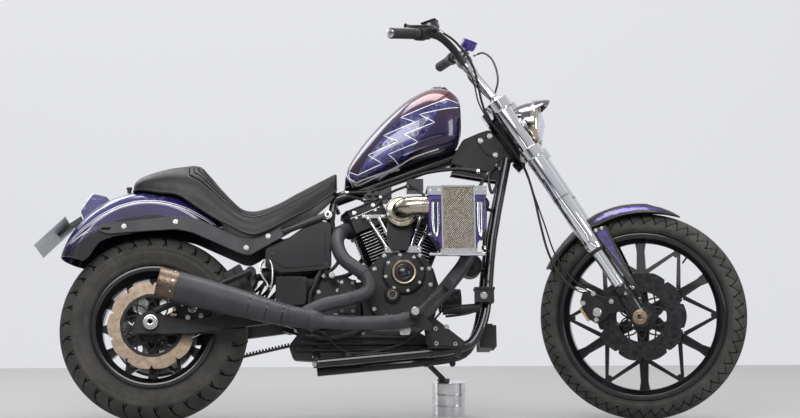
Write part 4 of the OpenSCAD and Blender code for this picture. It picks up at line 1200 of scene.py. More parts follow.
# %% Fender struts and their screws
def rounded(outline, r=10.0, steps=3):
    """The outline with its corners rounded."""
    out = []
    count = len(outline)
    for i in range(count):
        a, b, c = (Vector(outline[i - 1]), Vector(outline[i]), Vector(outline[(i + 1) % count]))
        cut = min(r, (a - b).length / 2.2, (c - b).length / 2.2)
        p, q = b + (a - b).normalized() * cut, b + (c - b).normalized() * cut
        for k in range(steps + 1):
            t = k / steps
            out.append(tuple((1 - t) ** 2 * p + 2 * t * (1 - t) * b + t * t * q))
    return out


STRUT_OUTLINE = [(-176, 623), (-184, 634), (-170, 650), (-85, 656), (80, 675), (148, 664),
                 (282, 600), (320, 597), (423, 640), (436, 622), (424, 600), (318, 541),
                 (294, 544),
                 (130, 618), (78, 629), (-72, 620), (-150, 613)]
bm = bmesh.new()
screws = bmesh.new()
for side in (-1, 1):
    y = 98.4 * side
    plate(bm, rounded(STRUT_OUTLINE, 14, 4), y, y + 8 * side)
    rod(bm, (424, 102 * side, 620), (575, 102 * side, 676), 12)
    rod(bm, (564, 102 * side, 672), (580, 102 * side, 678), 14)
    rod(bm, (575, 78 * side, 676), (575, 111 * side, 676), 16)
    for x, z in ((-96, 639), (73, 654), (306, 566), (378, 605)):
        bolt(screws, (x, y + 8 * side, z), (0, side, 0), 6.5, 4)
    bolt(screws, (575, 111 * side, 676), (0, side, 0), 11, 6)
piece("fender_strut_pair", bm, UP, "chassis", STRUT, ["fender_struts"], bevel=1.6)
piece("fender_strut_screws", screws, UP, "chassis", ZINC)
# Painted shade: a flat near-black strip on each strut stands for the shade inside its slot.
slots = bmesh.new()
for side in (-1, 1):
    run = smooth_path([(-170, 106.6 * side, 633), (-155, 106.9 * side, 633),
                       (-140, 106.6 * side, 634)])
    tube(slots, run, 5.5, 16, flat=0.3)
piece("fender_strut_slot_shade", slots, UP, "chassis", BLACK_AND_SHADE)

# %% [markdown]
# The seat is one stepped pad: a low saddle and a raised rear hump. Leather pulls in at each
# sewn channel and swells between two of them. Those channels run along the saddle's edge
# and turn across the front of the hump, so their depth is worked out from how far a point
# lies from the edge and from the hump's crest, whichever rules.

# %% Seat
SEAT = [(-73, 766, 780, 36), (-66, 766, 806, 66), (-40, 764, 826, 86), (20, 752, 847, 104),
        (80, 742, 859, 112), (144, 700, 863, 116), (180, 676, 832, 118), (215, 654, 790, 120),
        (255, 634, 746, 122), (291, 614, 714, 124), (331, 604, 706, 126), (375, 618, 717, 124),
        (420, 642, 736, 120), (470, 670, 765, 112), (519, 698, 792, 98), (570, 738, 820, 74),
        (600, 764, 836, 54), (608, 776, 834, 40)]
CHANNELS, CHANNEL_GAP = 4, 0.1


def soft_max(a, b, k=2.2):
    return math.log(math.exp(k * a) + math.exp(k * b)) / k


def channel_level(x, share):
    """Which sewn channel a point lies at: whole numbers are the seams."""
    beside = (share - 0.36) / CHANNEL_GAP
    across = (160 - x) / 15.0
    return soft_max(beside, max(across, -6))


def pad_relief(x, share):
    level = channel_level(x, share)
    if level < -0.45 or level > CHANNELS - 0.45 or x < 96:
        return 0.0
    off = level - round(level)
    fade = min(1.0, max(0.0, (x - 96) / 10))
    return fade * (0.8 - 3.2 * math.exp(-(off / 0.15) ** 2))


def seat_ring(x, low, top, half, sides=96):
    ring = []
    for k in range(sides + 1):
        a = math.pi * k / sides
        share = abs(1 - 2 * k / sides)
        s = math.sin(a)
        y = half * math.cos(a) * (1 - 0.02 * (1 - s))
        z = low + 7 + (top - low - 7) * s ** 0.78
        out = Vector((0, y, 0.6 * (z - low))).normalized()
        p = Vector((x, y, z)) + out * pad_relief(x, share)
        ring.append(p)
    edge = [(-half, low + 2), (-half * 0.985, low), (-half * 0.9, low - 0.5)]
    under = low + 3 if x > 240 else max(low, fender_top_at(x)) + 1
    ring += [Vector((x, y, z)) for y, z in edge]
    ring += [Vector((x, -half * 0.8, under)), Vector((x, 0, under)),
             Vector((x, half * 0.8, under))]
    ring += [Vector((x, -y, z)) for y, z in reversed(edge)]
    return ring


def fender_top_at(x):
    span = 306 ** 2 - (x - FENDER_X) ** 2
    return FENDER_Z + math.sqrt(max(span, 0)) - 10


def seat():
    stations = smooth_path([Vector(s[:3]) for s in SEAT], 10)
    halves = smooth_path([Vector((s[3], 0, 0)) for s in SEAT], 10)
    rings = [seat_ring(s.x, s.y, s.z, h.x) for s, h in zip(stations, halves)]
    rings = [shrunk(rings[0], f) for f in (0.3, 0.7)] + rings + [shrunk(rings[-1], f)
                                                                 for f in (0.7, 0.3)]
    bm = bmesh.new()
    skin(bm, rings)
    thing = piece("seat_pad", bm, UP, "chassis", LEATHER, ["seat"], sharp=70)
    return stations, halves


stations, halves = seat()


def seat_threads():
    """Short stitches beside the outer seam, both sides."""
    bm = bmesh.new()
    for level in (CHANNELS - 1, 0):
        share = 0.36 + CHANNEL_GAP * (level + 0.16)
        last = None
        for s, h in zip(stations, halves):
            if s.x < 190 or s.x > 596:
                continue
            for side in (-1, 1):
                k = (1 - side * share) / 2
                a = math.pi * k
                y = h.x * math.cos(a)
                z = s.y + 7 + (s.z - s.y - 7) * math.sin(a) ** 0.78
                at = Vector((s.x, y, z))
                up = Vector((0, y, 0.6 * (z - s.y))).normalized()
                nxt = Vector((4.4, 0, 0))
                if last is not None and abs(last.x - s.x) > 1e-6:
                    slope = (s.z - last.z) / (s.x - last.x)
                    nxt = Vector((4.4, 0, 4.4 * slope * 0.8))
                rod(bm, at + up * 0.6, at + up * 0.6 + nxt.normalized() * 4.6, 0.8, sides=6)
            last = s
    piece("seat_stitches", bm, UP, "chassis", THREAD)


def seat_at(x, share, side):
    """A point on the pad's upper face, and the way out of it."""
    for (s0, h0), (s1, h1) in zip(zip(stations, halves), zip(stations[1:], halves[1:])):
        if s1.x >= x:
            break
    t = (x - s0.x) / (s1.x - s0.x)
    s, half = s0.lerp(s1, t), h0.lerp(h1, t).x
    a = math.pi * (1 - side * share) / 2
    y, z = half * math.cos(a), s.y + 7 + (s.z - s.y - 7) * math.sin(a) ** 0.78
    return Vector((x, y, z)), Vector((0, y, 0.6 * (z - s.y))).normalized()


def halved(rule, low, high):
    """Where a rising rule passes zero."""
    for _ in range(30):
        middle = (low + high) / 2
        low, high = (low, middle) if rule(middle) > 0 else (middle, high)
    return low


def seat_seam_shade():
    """Painted shade: a near-black line laid in the crease at the bottom of each sewn channel."""
    bm = bmesh.new()
    for level in range(CHANNELS):
        for side in (-1, 1):
            corner = 190 - 15 * level
            line = [(x, halved(lambda share: channel_level(x, share) - level, 0, 0.99))
                    for x in range(592, corner, -6)]
            last = line[-1][1]
            for share in (last * (1 - k / 12) for k in range(1, 13)):
                line.append((halved(lambda back: level - channel_level(back, share), 90, corner),
                             share))
            run = []
            for x, share in line:
                at, out = seat_at(x, share, side)
                run.append(at + out * (pad_relief(x, share) + 1.3))
            tube(bm, run, 1.7, 8)
    piece("seat_seam_shade", bm, UP, "chassis", BLACK_AND_SHADE)


seat_threads()
seat_seam_shade()
bm = bmesh.new()
for side in (-1, 1):
    run = [(s.x, side * h.x * 0.992, s.y + 3.5) for s, h in zip(stations, halves)]
    tube(bm, run[2:-2], 2.6, 10)
piece("seat_welt", bm, UP, "chassis", LEATHER)
print("seat:", CHANNELS, "sewn channels a side")

# %% [markdown]
# The tail holds a small wedge of painted housing with a smoked lens facing back, and a
# bracket that carries a blank plate. Nothing is written on the plate.

# %% Tail light and plate
bm = bmesh.new()
plate(bm, rounded([(-232, 668), (-208, 672), (-148, 735), (-160, 754), (-206, 764), (-246, 708)],
                  5, 2), -41, 41)
piece("tail_light_housing", bm, UP, "chassis", MARBLE, ["tail_light"], bevel=2.5)
bm = bmesh.new()
for y in (-36, 36):
    tube(bm, [(-246, y, 706), (-210, y, 762)], 3.4, 12)
for x, z in ((-247, 705), (-209, 763)):
    tube(bm, [(x, -36, z), (x, 36, z)], 3.4, 12)
piece("tail_light_rim", bm, UP, "chassis", ALLOY)
bm = bmesh.new()
plate(bm, [(-245, 706), (-238, 704), (-206, 756), (-211, 762), (-232, 738)], -33, 33)
for k in range(7):
    y = -27 + 9 * k
    rod(bm, (-243, y, 710), (-213, y, 757), 3.4, sides=12)
piece("tail_light_lens", bm, UP, "chassis", TAIL_LENS, bevel=1.2)
bm = bmesh.new()
plate(bm, rounded([(-246, 692), (-283, 667), (-324, 628), (-318, 622), (-276, 656), (-250, 668)],
                  3), -22,
      22)
rod(bm, (-90, 0, 774), (-90, 0, 786), 7)
rod(bm, (-90, 0, 786), (-90, 0, 793), 10, 9)
piece("tail_trim", bm, UP, "chassis", PLASTIC, ["plate_bracket"], bevel=1)
tilt = Vector((-387 + 285, 0, 573 - 671)).normalized()
face_way = Vector((tilt.z, 0, -tilt.x))
plate_frame = (shift(-285, 0, 671)
               @ Matrix((tilt, Vector((0, 1, 0)), face_way)).transposed().to_4x4())
bm = bmesh.new()
block(bm, (2, -114, 0.4), (140, 114, 2.4))
for f in (0, 1):
    block(bm, (3.5 + 131 * f, -112, 2.2), (6.5 + 131 * f, 112, 3.0))
    block(bm, (4, -112 + 221 * f, 2.2), (138, -109 + 221 * f, 3.0))
piece("blank_plate", bm, UP @ plate_frame, "chassis", PLATE, ["licence_plate"],
      bevel=0.8)
bm = bmesh.new()
for x, y in ((24, -85), (24, 85), (118, -85), (118, 85)):
    bolt(bm, (x, y, 2.4), (0, 0, 1), 5, 3, False)
piece("blank_plate_screws", bm, UP @ plate_frame, "chassis", ZINC)
print("tail:", made_pieces[-5:])

# %% [markdown]
# The fork is two bright tubes in two clamps, with black lugs that carry the axle. Turned
# parts like these are profiles spun round the tube's own axis, which gives true rings, lips
# and chamfers for little work.

# %% Fork tubes, clamps and lugs
bm = bmesh.new()
caps = bmesh.new()
seals = bmesh.new()
for side in (-1, 1):
    y = LEG_SIDE * side
    at = shift(FORK_OFFSET, y, 0)
    turn_profile(bm, [(0.01, 112), (20.5, 112), (20.5, 262), (23, 264), (26, 266), (28.2, 272),
                      (28.6, 296), (28.2, 300), (28.2, 322), (29, 326), (29, 636), (28.4, 640),
                      (28.4, 690), (29, 694), (29, 838), (27.8, 842), (27.8, 866), (25, 870),
                      (0.01, 870)], at, 72)
    turn_profile(caps, [(0.01, 884), (8, 884), (8.6, 879), (13, 878), (22, 877), (24, 874),
                        (24.4, 869), (0.01, 869)], at, 48)
    rod(caps, (FORK_OFFSET, y, 882), (FORK_OFFSET, y, 889), 8, sides=6)
    turn_profile(seals, [(20.6, 258), (24, 256), (26.6, 259), (27.4, 264), (27.4, 268),
                         (20.6, 268)],
                 at, 48, True)
    for w in (470, 474.5):
        turn_profile(seals, [(28.9, w), (29.25, w + 0.3), (29.25, w + 1.7), (28.9, w + 2)], at, 48,
                     True)
piece("fork_tube_pair", bm, HEAD, "steering_head", CHROME, ["fork_tubes"],
      sharp=30)
piece("fork_cap_pair", caps, HEAD, "steering_head", ALLOY, bevel=0.4)
piece("fork_dust_seals", seals, HEAD, "steering_head", RUBBER)


def clamp_shape(bm, w, high):
    """One fork clamp: two round ends joined by a waisted bridge round the stem."""
    half = []
    for a in range(-52, 190, 11):
        way = polar(39, a)
        half.append((FORK_OFFSET + way.x, LEG_SIDE + way.y))
    outline = half + [(4, 58), (-18, 34), (-33, 14), (-34, 0)]
    ring = outline + [(u, -v) for u, v in reversed(outline[:-1])] + [(38, -40), (38, 40)]
    slab(bm, ring, w - high / 2, w + high / 2)


bm = bmesh.new()
screws = bmesh.new()
for w in (654, 850):
    clamp_shape(bm, w, 38)
    for side in (-1, 1):
        rod(bm, (20, (LEG_SIDE - 6) * side, w), (20, (LEG_SIDE + 22) * side, w), 13, sides=24)
        bolt(screws, (18, (LEG_SIDE + 22) * side, w), (0, side, 0), 6, 5)
piece("fork_clamp_pair", bm, HEAD, "steering_head", CHROME, ["fork_clamps"],
      bevel=2.2)
turn_profile(screws, [(0.01, 880), (9, 880), (11, 876), (20, 875), (22, 872), (22, 868),
                      (0.01, 868)], None, 48)
rod(screws, (0, 0, 878), (0, 0, 886), 12, sides=6)
piece("fork_clamp_screws", screws, HEAD, "steering_head", ZINC)
bm = bmesh.new()
rod(bm, (0, 0, 674), (0, 0, 830), 26, sides=48)
piece("steering_stem", bm, HEAD, "steering_head", SATIN)

bm = bmesh.new()
screws = bmesh.new()
for side in (-1, 1):
    y = LEG_SIDE * side
    turn_profile(bm, [(0.01, 18), (27, 18), (29, 24), (29, 84), (27.4, 90), (25.2, 94),
                      (25.2, 108),
                      (27, 111), (27, 122), (25, 125), (21.2, 127), (0.01, 127)],
                 shift(FORK_OFFSET, y, 0), 56)
    turn_profile(bm, [(13, -24.2), (24, -24.2), (31, -21), (32, -14), (32, 14), (31, 21),
                      (24, 24.2),
                      (13, 24.2)], shift(FORK_OFFSET, y, 0) @ turned(90, "X"), 64, True)
    block(bm, (FORK_OFFSET - 29, y - 20, 4), (FORK_OFFSET + 29, y + 20, 38))
    block(bm, (FORK_OFFSET - 35, y + 8 * side - 9, -10), (FORK_OFFSET - 20, y + 8 * side + 9, 10))
    for w in (-13, 8):
        bolt(screws, (FORK_OFFSET - 35, y + 8 * side, w + 3), (-1, 0, 0), 4.6, 4)
    block(screws, (FORK_OFFSET + 27, y - 11, 96), (FORK_OFFSET + 30, y + 11, 106))
piece("fork_lug_pair", bm, HEAD, "steering_head", GLOSS, ["fork_lugs"], bevel=1.4)
piece("fork_lug_screws", screws, HEAD, "steering_head", ZINC)
print("fork:", made_pieces[-6:])

# %% [markdown]
# The headlight hangs between the two clamps. Its shell is one spun profile, with a longer
# peak over the upper half, so the peak is a band of its own that is cut before it is spun.

# %% Headlight
lamp_axis = turned(90)
bm = bmesh.new()
turn_profile(bm, [(0.01, -88), (24, -87), (46, -80), (62, -68), (73, -48), (79, -24), (81, -4),
                  (84, -2), (85.4, 3), (84.5, 10), (80, 15), (72, 16), (67, 12), (66.5, 2),
                  (0.01, 2)], lamp_axis, 96)
for side in (-1, 1):
    turn_profile(bm, [(0.01, 0), (15, 0), (16, 2), (16, 12), (0.01, 14)],
                 shift(-26, 74 * side, 0) @ turned(-90 * side, "X"), 32)
peak = bmesh.new()
profile = [(86.4, 4), (87.6, 26), (88, 48), (86.6, 53.6), (84.6, 53), (85.2, 46), (84.6, 24),
           (84.4, 4)]
rings = []
for k in range(49):
    a = math.radians(38 + 104 * k / 48)
    reach = 0.2 + 0.8 * math.sin(math.pi * k / 48) ** 0.7
    rings.append([Vector((4 + (x - 4) * reach, math.cos(a) * r, math.sin(a) * r)) for r,
                  x in profile])
skin(peak, rings)
keep = bpy.data.meshes.new("peak")
bmesh.ops.recalc_face_normals(peak, faces=peak.faces)
peak.to_mesh(keep)
peak.free()
bm.from_mesh(keep)
bpy.data.meshes.remove(keep)
piece("headlight_bowl", bm, LAMP, "steering_head", SMOKED, ["headlight_shell"],
      sharp=34)
bm = bmesh.new()
turn_profile(bm, [(0.01, 33), (18, 31.6), (34, 27.6), (48, 21), (58, 14), (65.4, 7), (65.4, 4.4),
                  (0.01, 4.4)],
             lamp_axis, 96)
piece("headlight_glass", bm, LAMP, "steering_head", GLASS, ["headlight_lens"])
bm = bmesh.new()
turn_profile(bm, [(8, 2.2), (22, 2.4), (40, 2.9), (58, 3.8), (64, 4.2), (64.5, 3), (8, 2.05)],
             lamp_axis, 96, True)
piece("headlight_reflector", bm, LAMP, "steering_head", ZINC)
bm = bmesh.new()
turn_profile(bm, [(80.5, -5), (86.2, -3.5), (87.4, 3), (86.4, 11), (81, 16.6), (73, 17.4),
                  (68, 13),
                  (72, 10)], lamp_axis, 96, True)
piece("headlight_bezel", bm, LAMP, "steering_head", NICKEL)
bm = bmesh.new()
for k in range(9):
    y = -48 + 12 * k
    reach = math.sqrt(62 ** 2 - y * y)
    tube(bm, [(3.0, y, -reach), (3.6, y, 0), (3.0, y, reach)], 0.9, 8)
turn_profile(bm, [(0.01, 3.9), (7, 3.6), (10, 2.4), (0.01, 2.4)], lamp_axis, 32)
piece("headlight_flutes", bm, LAMP, "steering_head", ZINC)
bm = bmesh.new()
for side in (-1, 1):
    rod(bm, (-26, 84 * side, 0), (-70, 95 * side, -18), 9, 11, 24)
bolt(bm, (-26, 90, 0), (0, 1, 0), 8, 6)
bolt(bm, (-26, -90, 0), (0, -1, 0), 8, 6)
piece("headlight_ears", bm, LAMP, "steering_head", ALLOY, bevel=0.6)
print("headlight:", made_pieces[-5:])

# %% [markdown]
# The handlebar, its risers and what the rider holds are simple tubes, but their ends matter:
# a grip has a knurl, a flange and a capped end, and a lever has a flat blade with a ball.

# %% Handlebar, risers and grips
BAR = [(-90, 450, 1190), (-60, 392, 1178), (-30, 333, 1165), (1, 272, 1152), (20, 230, 1132),
       (29, 180, 1096), (26, 110, 1066), (24, 60, 1057), (24, 0, 1057)]
bar_path = smooth_path(BAR + [(u, -y, w) for u, y, w in reversed(BAR[:-1])], 8)
bm = bmesh.new()
tube(bm, bar_path, 12.7, 32)
piece("handlebar_tube", bm, HEAD, "steering_head", SATIN, ["handlebar"])
bm = bmesh.new()
for side in (-1, 1):
    foot, top = Vector((44, 39 * side, 869)), Vector((24, 34 * side, 1057))
    way = (top - foot).normalized()
    at = placed(foot, way)
    high = (top - foot).length
    turn_profile(bm, [(0.01, -4), (19, -4), (19, 10), (15, 16), (13.4, 22), (13.4, high - 52),
                      (14.8, high - 44), (17, high - 38), (19, high - 22), (19, high - 12),
                      (0.01, high - 12)], at, 48)
    turn_profile(bm, [(13.2, -17), (21, -17), (23, -14.5), (23, 14.5), (21, 17), (13.2, 17)],
                 shift(*top) @ turned(90, "X"), 48, True)
piece("bar_riser_pair", bm, HEAD, "steering_head", BRIGHT, ["bar_risers"],
      sharp=30)
bm = bmesh.new()
for side in (-1, 1):
    for du in (-15, 15):
        bolt(bm, (24 + du, 34 * side, 1078), (0, 0, 1), 5, 6)
piece("riser_cap_screws", bm, HEAD, "steering_head", ZINC)

grip_a, grip_b = Vector((-90, 450, 1190)), Vector((-30, 333, 1165))
bm = bmesh.new()
ends = bmesh.new()
for side in (-1, 1):
    a, b = Vector((grip_a.x, grip_a.y * side, grip_a.z)), Vector((grip_b.x, grip_b.y * side,
                                                                 grip_b.z))
    at = placed(a, b - a)
    length = (b - a).length
    profile = [(0.01, 0.6), (17, 0.6), (18, 2), (18, 6)]
    for k in range(13):
        h = 9 + k * 8.6
        profile += [(17.4, h), (16.6, h + 1.0), (16.6, h + 2.0), (17.4, h + 3.0)]
    profile += [(18, length - 8), (20, length - 6), (21.4, length - 3), (20, length),
                (0.01, length)]
    turn_profile(bm, profile, at, 40)
    turn_profile(ends, [(0.01, -4.6), (11, -4.2), (14.6, -2.4), (15, 0.9), (0.01, 0.9)], at, 40)
piece("hand_grip_pair", bm, HEAD, "steering_head", RUBBER, ["hand_grips"], sharp=50)
piece("hand_grip_ends", ends, HEAD, "steering_head", ALLOY)
print("bars:", made_pieces[-5:])

# %% Levers, switches and the brake reservoir
grip_way = (Vector((-90, 450, 1190)) - Vector((-30, 333, 1165))).normalized()


def lever_set(bm, shiny, side):
    """Switch block, lever bracket and a blade lever beside the grip."""
    base = placed((-30, 333, 1165), grip_way)
    flip = Matrix.Diagonal((1, side, 1, 1))
    for z0, z1, r in ((-4, -32, 22.5), (-36, -58, 18.5)):
        rod(bm, flip @ base @ Vector((0, 0, z0)), flip @ base @ Vector((0, 0, z1)), r, sides=36)
    ahead = (base.to_3x3().inverted() @ Vector((1, 0, -0.25)))
    ahead = Vector((ahead.x, ahead.y, 0)).normalized()
    run = []
    for out, along in ((16, -50), (36, -52), (50, -34), (56, 4), (55, 50), (54, 92), (60, 128)):
        run.append(flip @ base @ (ahead * out + Vector((0, 0, along))))
    path = smooth_path(run, 7)
    tube(shiny, path, lambda f: 7.2 - 2.2 * f if f < 0.94 else 7.4, 18, flat=0.62)
    pivot = flip @ base @ (ahead * 36 + Vector((0, 0, -52)))
    rod(bm, pivot - Vector((-3, 0, 12)), pivot + Vector((-3, 0, 12)), 11, sides=24)
    bolt(shiny, pivot + Vector((-3, 0, 12)), (-0.25, 0, 1), 6, 4)
    for along, size in ((-14, 5.5), (-23, 4.2)):
        knob = flip @ base @ (ahead * -20 + Vector((0, 0, along)))
        rod(shiny, knob, knob + (flip @ base).to_3x3() @ (-ahead) * 6, size, size * 0.8, 16)


bm, shiny = bmesh.new(), bmesh.new()
for side in (-1, 1):
    lever_set(bm, shiny, side)
piece("hand_control_blocks", bm, HEAD, "steering_head", SATIN, ["hand_controls"],
      bevel=1.4)
piece("hand_levers", shiny, HEAD, "steering_head", GLOSS, sharp=50)
bm = bmesh.new()
tank_turn = shift(14, -262, 1167) @ turned(16)
block(bm, (-24, -32, 0), (24, 32, 20), tank_turn)
block(bm, (-26, -34, 20), (26, 34, 25.5), tank_turn)
rod(bm, (10, -262, 1150), (14, -262, 1168), 11)
piece("brake_reservoir", bm, HEAD, "steering_head", SATIN, bevel=3)
bm = bmesh.new()
for x in (-19, 19):
    bolt(bm, (x, 0, 25.5), (0, 0, 1), 4, 2.5)
turn_profile(bm, [(0.01, 1.2), (7, 1.2), (8, 0), (0.01, 0)], shift(0, -32, 9) @ turned(90, "X"),
             32)
piece("brake_reservoir_trim", bm, HEAD @ tank_turn, "steering_head", ZINC)

# %% Round gauge on its arm
gauge_axis = shift(60, -76, 1078) @ turned(55)
bm = bmesh.new()
turn_profile(bm, [(0.01, 0), (14, 0), (22, 3), (25, 10), (25.8, 20), (25.8, 29), (27, 30),
                  (27, 34),
                  (23.6, 34.6), (22.6, 32), (0.01, 32)], gauge_axis, 64)
rod(bm, (36, -76, 1064), (66, -76, 1082), 6)
piece("gauge_case", bm, HEAD, "steering_head", VIVID, ["gauge_pod"], sharp=34)
bm = bmesh.new()
turn_profile(bm, [(0.01, 32.9), (22.4, 32.9), (22.4, 31.8), (0.01, 31.8)], gauge_axis, 48)
piece("gauge_face", bm, HEAD, "steering_head", BLACK_AND_SHADE)
bm = bmesh.new()
for k in range(12):
    way = polar(19, 30 * k)
    block(bm, (way.x - 0.7, way.y - 0.7, 32.8), (way.x + 0.7, way.y + 0.7, 33.3))
block(bm, (-0.7, 0, 32.8), (0.7, 17, 33.5))
piece("gauge_marks", bm, HEAD @ gauge_axis, "steering_head", STRIPE)
print("controls:", made_pieces[-7:])

# %% [markdown]
# Hoses and cables run from the levers past the neck and down to the wheel. Each is a tube
# on one smooth curve, with a metal ferrule where it ends.

# %% Hoses and cables at the fork
RUNS = {
    "brake_hose": ([(30, -250, 1150), (52, -196, 1096), (50, -128, 1010), (4, -70, 900),
                    (-6, -66, 850), (-4, -66, 780), (0, -67, 700), (0, -67, 630), (-24, -70, 540),
                    (-60, -80, 440), (-88, -92, 350), (-96, -104, 270), (-84, -112, 206),
                    (-66, -98, 178)], 4.0),
    "clutch_cable": ([(50, 308, 1122), (84, 250, 1100), (100, 170, 1040), (80, 96, 960),
                      (20, 70, 900), (-8, 70, 850), (-4, 72, 770), (0, 72, 700)], 3.5),
    "switch_loom": ([(-6, 290, 1150), (6, 200, 1108), (6, 110, 1046), (8, 30, 1000),
                     (30, -24, 900), (50, -20, 800), (66, -6, 760)], 4.5),
    "speed_lead": ([(20, -76, 1070), (24, -80, 990), (-6, -80, 900), (-8, -80, 820),
                    (0, -78, 740), (0, -78, 640), (-22, -74, 540), (-50, -70, 430),
                    (-74, -76, 330), (-70, -86, 230), (-40, -92, 160)], 2.6)}
bm, ends = bmesh.new(), bmesh.new()
for name, (run, r) in RUNS.items():
    path = smooth_path(run, 8)
    tube(bm, path, r, 16)
    for here, there in ((path[0], path[2]), (path[-1], path[-3])):
        way = (there - here).normalized()
        rod(ends, here - way * 5, here + way * 13, r * 1.6, sides=20)
        rod(ends, here + way * 13, here + way * 19, r * 1.35, r * 1.1, 20)
piece("fork_hoses", bm, HEAD, "steering_head", RUBBER, ["control_cables"], sharp=60)
piece("fork_hose_ends", ends, HEAD, "steering_head", ZINC)

# %% [markdown]
# The front fender is a light blade: full over the tyre, low at the back and drawn to a
# point ahead. Its crown and its edge are given as radii from the axle against the angle, so
# one loft makes the whole sheet and keeps a clean lip.

# %% Front fender and its stays
CROWN_LINE = [(68, 358.5), (72, 364), (79, 371.5), (83, 374), (86, 379), (100, 381), (113, 379),
              (123, 373), (132, 367), (152, 362)]
EDGE_LINE = [(68, 356), (74, 354), (84, 350), (100, 344), (112, 338), (124, 344), (152, 352)]
WIDE_LINE = [(68, 12), (72, 40), (80, 62), (90, 69), (120, 69), (152, 62)]


def front_fender():
    bm = bmesh.new()
    rings = []
    for i in range(127):
        angle = 68 + 84 * i / 126
        crown, edge = looked_up(CROWN_LINE, angle), looked_up(EDGE_LINE, angle)
        wide = looked_up(WIDE_LINE, angle)
        ring = []
        for k in range(-14, 15):
            share = k / 14
            y = wide * math.copysign(abs(share) ** 0.9, share)
            ridge = 1 - abs(share) ** 2.6
            r = edge + (crown - edge) * ridge
            ring.append((r, y))
        ring += [(r - 2.6, y * 0.975) for r, y in reversed(ring)]
        a = math.radians(angle)
        rings.append([Vector((r * math.cos(a), y, r * math.sin(a))) for r, y in ring])
    skin(bm, rings)
    bmesh.ops.recalc_face_normals(bm, faces=bm.faces)
    tree = surface_tree(bm)
    piece("front_fender_sheet", bm, FRONT, "steering_head", SATIN,
          ["front_fender"], sharp=44)
    return tree


front_tree = front_fender()


def in_polar(points):
    return [tuple(polar(r, a)) for a, r in points]


FLAME = in_polar([(116, 352), (110, 366), (100, 372), (90, 370), (82, 364.5), (76, 359.5),
                  (82, 358),
                  (90, 357), (100, 354), (108, 350)])
for side, label in ((-1, "right"), (1, "left")):
    bm = bmesh.new()
    painted_area(bm, front_tree, FLAME, side, 0.35)
    for first, last, r in ((84, 106, 368), (80, 104, 361)):
        stripe(bm, front_tree, in_polar([(a, r - abs(a - 94) * 0.12) for a in
                                         range(first, last, 5)]), side, 1.6, 4, 0.9)
    piece("front_fender_flame_" + label, bm, FRONT, "steering_head", VIVID,
          sharp=60)
bm, paint = bmesh.new(), bmesh.new()
STAY = [(70, 40), (86, 40), (98, 130), (122, 318), (70, 336), (72, 250), (78, 120)]
STAY_PAINT = [(80, 308), (84, 260), (88, 200), (90, 140), (96, 200), (106, 268), (112, 304),
              (96, 314)]
for side in (-1, 1):
    y = 70.5 * side
    plate(bm, rounded(STAY, 8, 3), y, y + 4.5 * side)
    plate(paint, rounded(STAY_PAINT, 4, 2), y + 4.5 * side, y + 5.1 * side)
    rod(bm, (78, 72 * side, 48), (78, 82 * side, 48), 6, sides=20)
piece("front_fender_stays", bm, HEAD, "steering_head", GLOSS, ["fender_stays"],
      bevel=1.0)
piece("front_fender_stay_paint", paint, HEAD, "steering_head", VIVID)
bm = bmesh.new()
for side in (-1, 1):
    for u, w in ((78, 52), (80, 96), (84, 322), (104, 318)):
        bolt(bm, (u, 75 * side, w), (0, side, 0), 4.6, 3)
    tube(bm, smooth_path([(80, 76.5 * side, 300), (88, 76.5 * side, 220), (93, 76.5 * side, 130)],
                         8),
         1.0, 8)
piece("front_fender_screws", bm, HEAD, "steering_head", ZINC)
print("front fender:", made_pieces[-6:])

# %% [markdown]
# A brake caliper is a machined block round the disc. Plates cut to its outline, with eased
# edges, raised piston caps and bright bolts, read as one at any distance.

# %% Brake calipers
def caliper(name, where, body, outline, y_in, y_out, pistons, screws_at, pad, node_name):
    """A caliper half outside the disc and one inside it, bridged at the outer edge."""
    bm, bright, pads = bmesh.new(), bmesh.new(), bmesh.new()
    plate(bm, rounded(outline, 7, 3), y_in, y_out)
    centre = sum((Vector((x, 0, z)) for x, z in outline), Vector()) / len(outline)
    inner = [(centre.x + (x - centre.x) * 0.8, centre.z + (z - centre.z) * 0.84)
             for x, z in outline]
    plate(bm, rounded(inner, 7, 3), y_in, y_in - 4)
    for x, z, r in pistons:
        turn_profile(bright, [(0.01, 5.5), (r * 0.5, 5.5), (r * 0.56, 3.5), (r * 0.84, 3.5),
                              (r, 2), (r, -1), (0.01, -1)],
                     shift(x, y_in - 4, z) @ turned(90, "X"), 40)
    for x, z in screws_at:
        bolt(bright, (x, y_in - 3.6, z), (0, -1, 0), 6.5, 7)
    for x0, z0, x1, z1 in pad:
        block(pads, (x0, y_in + 4, z0), (x1, y_out - 4, z1))
    piece(name + "_caliper_body", bm, where, body, SATIN, node_name, bevel=1.6)
    piece(name + "_caliper_bolts", bright, where, body, ZINC, sharp=30)
    piece(name + "_caliper_pads", pads, where, body, GOLD, bevel=0.8)


caliper("front", HEAD, "steering_head",
        [(-85, 60), (-98, 90), (-92, 150), (-62, 176), (-34, 152), (-20, 110), (-30, 66),
         (-52, 58)],
        -103, -40, [(-62, 92, 15)], [(-38, 150), (-84, 142), (-2, 96), (-78, 72)],
        [(-106, 84, -97, 136)], ["front_caliper"])
bm = bmesh.new()
plate(bm, rounded([(-44, 70), (22, 44), (24, 100), (-10, 116), (-40, 156), (-58, 150)], 8, 3),
      -103.4,
      -92)
piece("front_caliper_bracket", bm, HEAD, "steering_head", GLOSS, bevel=1.4)

# %% [markdown]
# The engine is an air-cooled vee twin. Its character is the stack of cooling fins, black
# with edges cut bright, so each fin is a thin black sheet with a thinner bright one that
# stands a hair proud of it. Covers, chrome tubes and screws go on top.

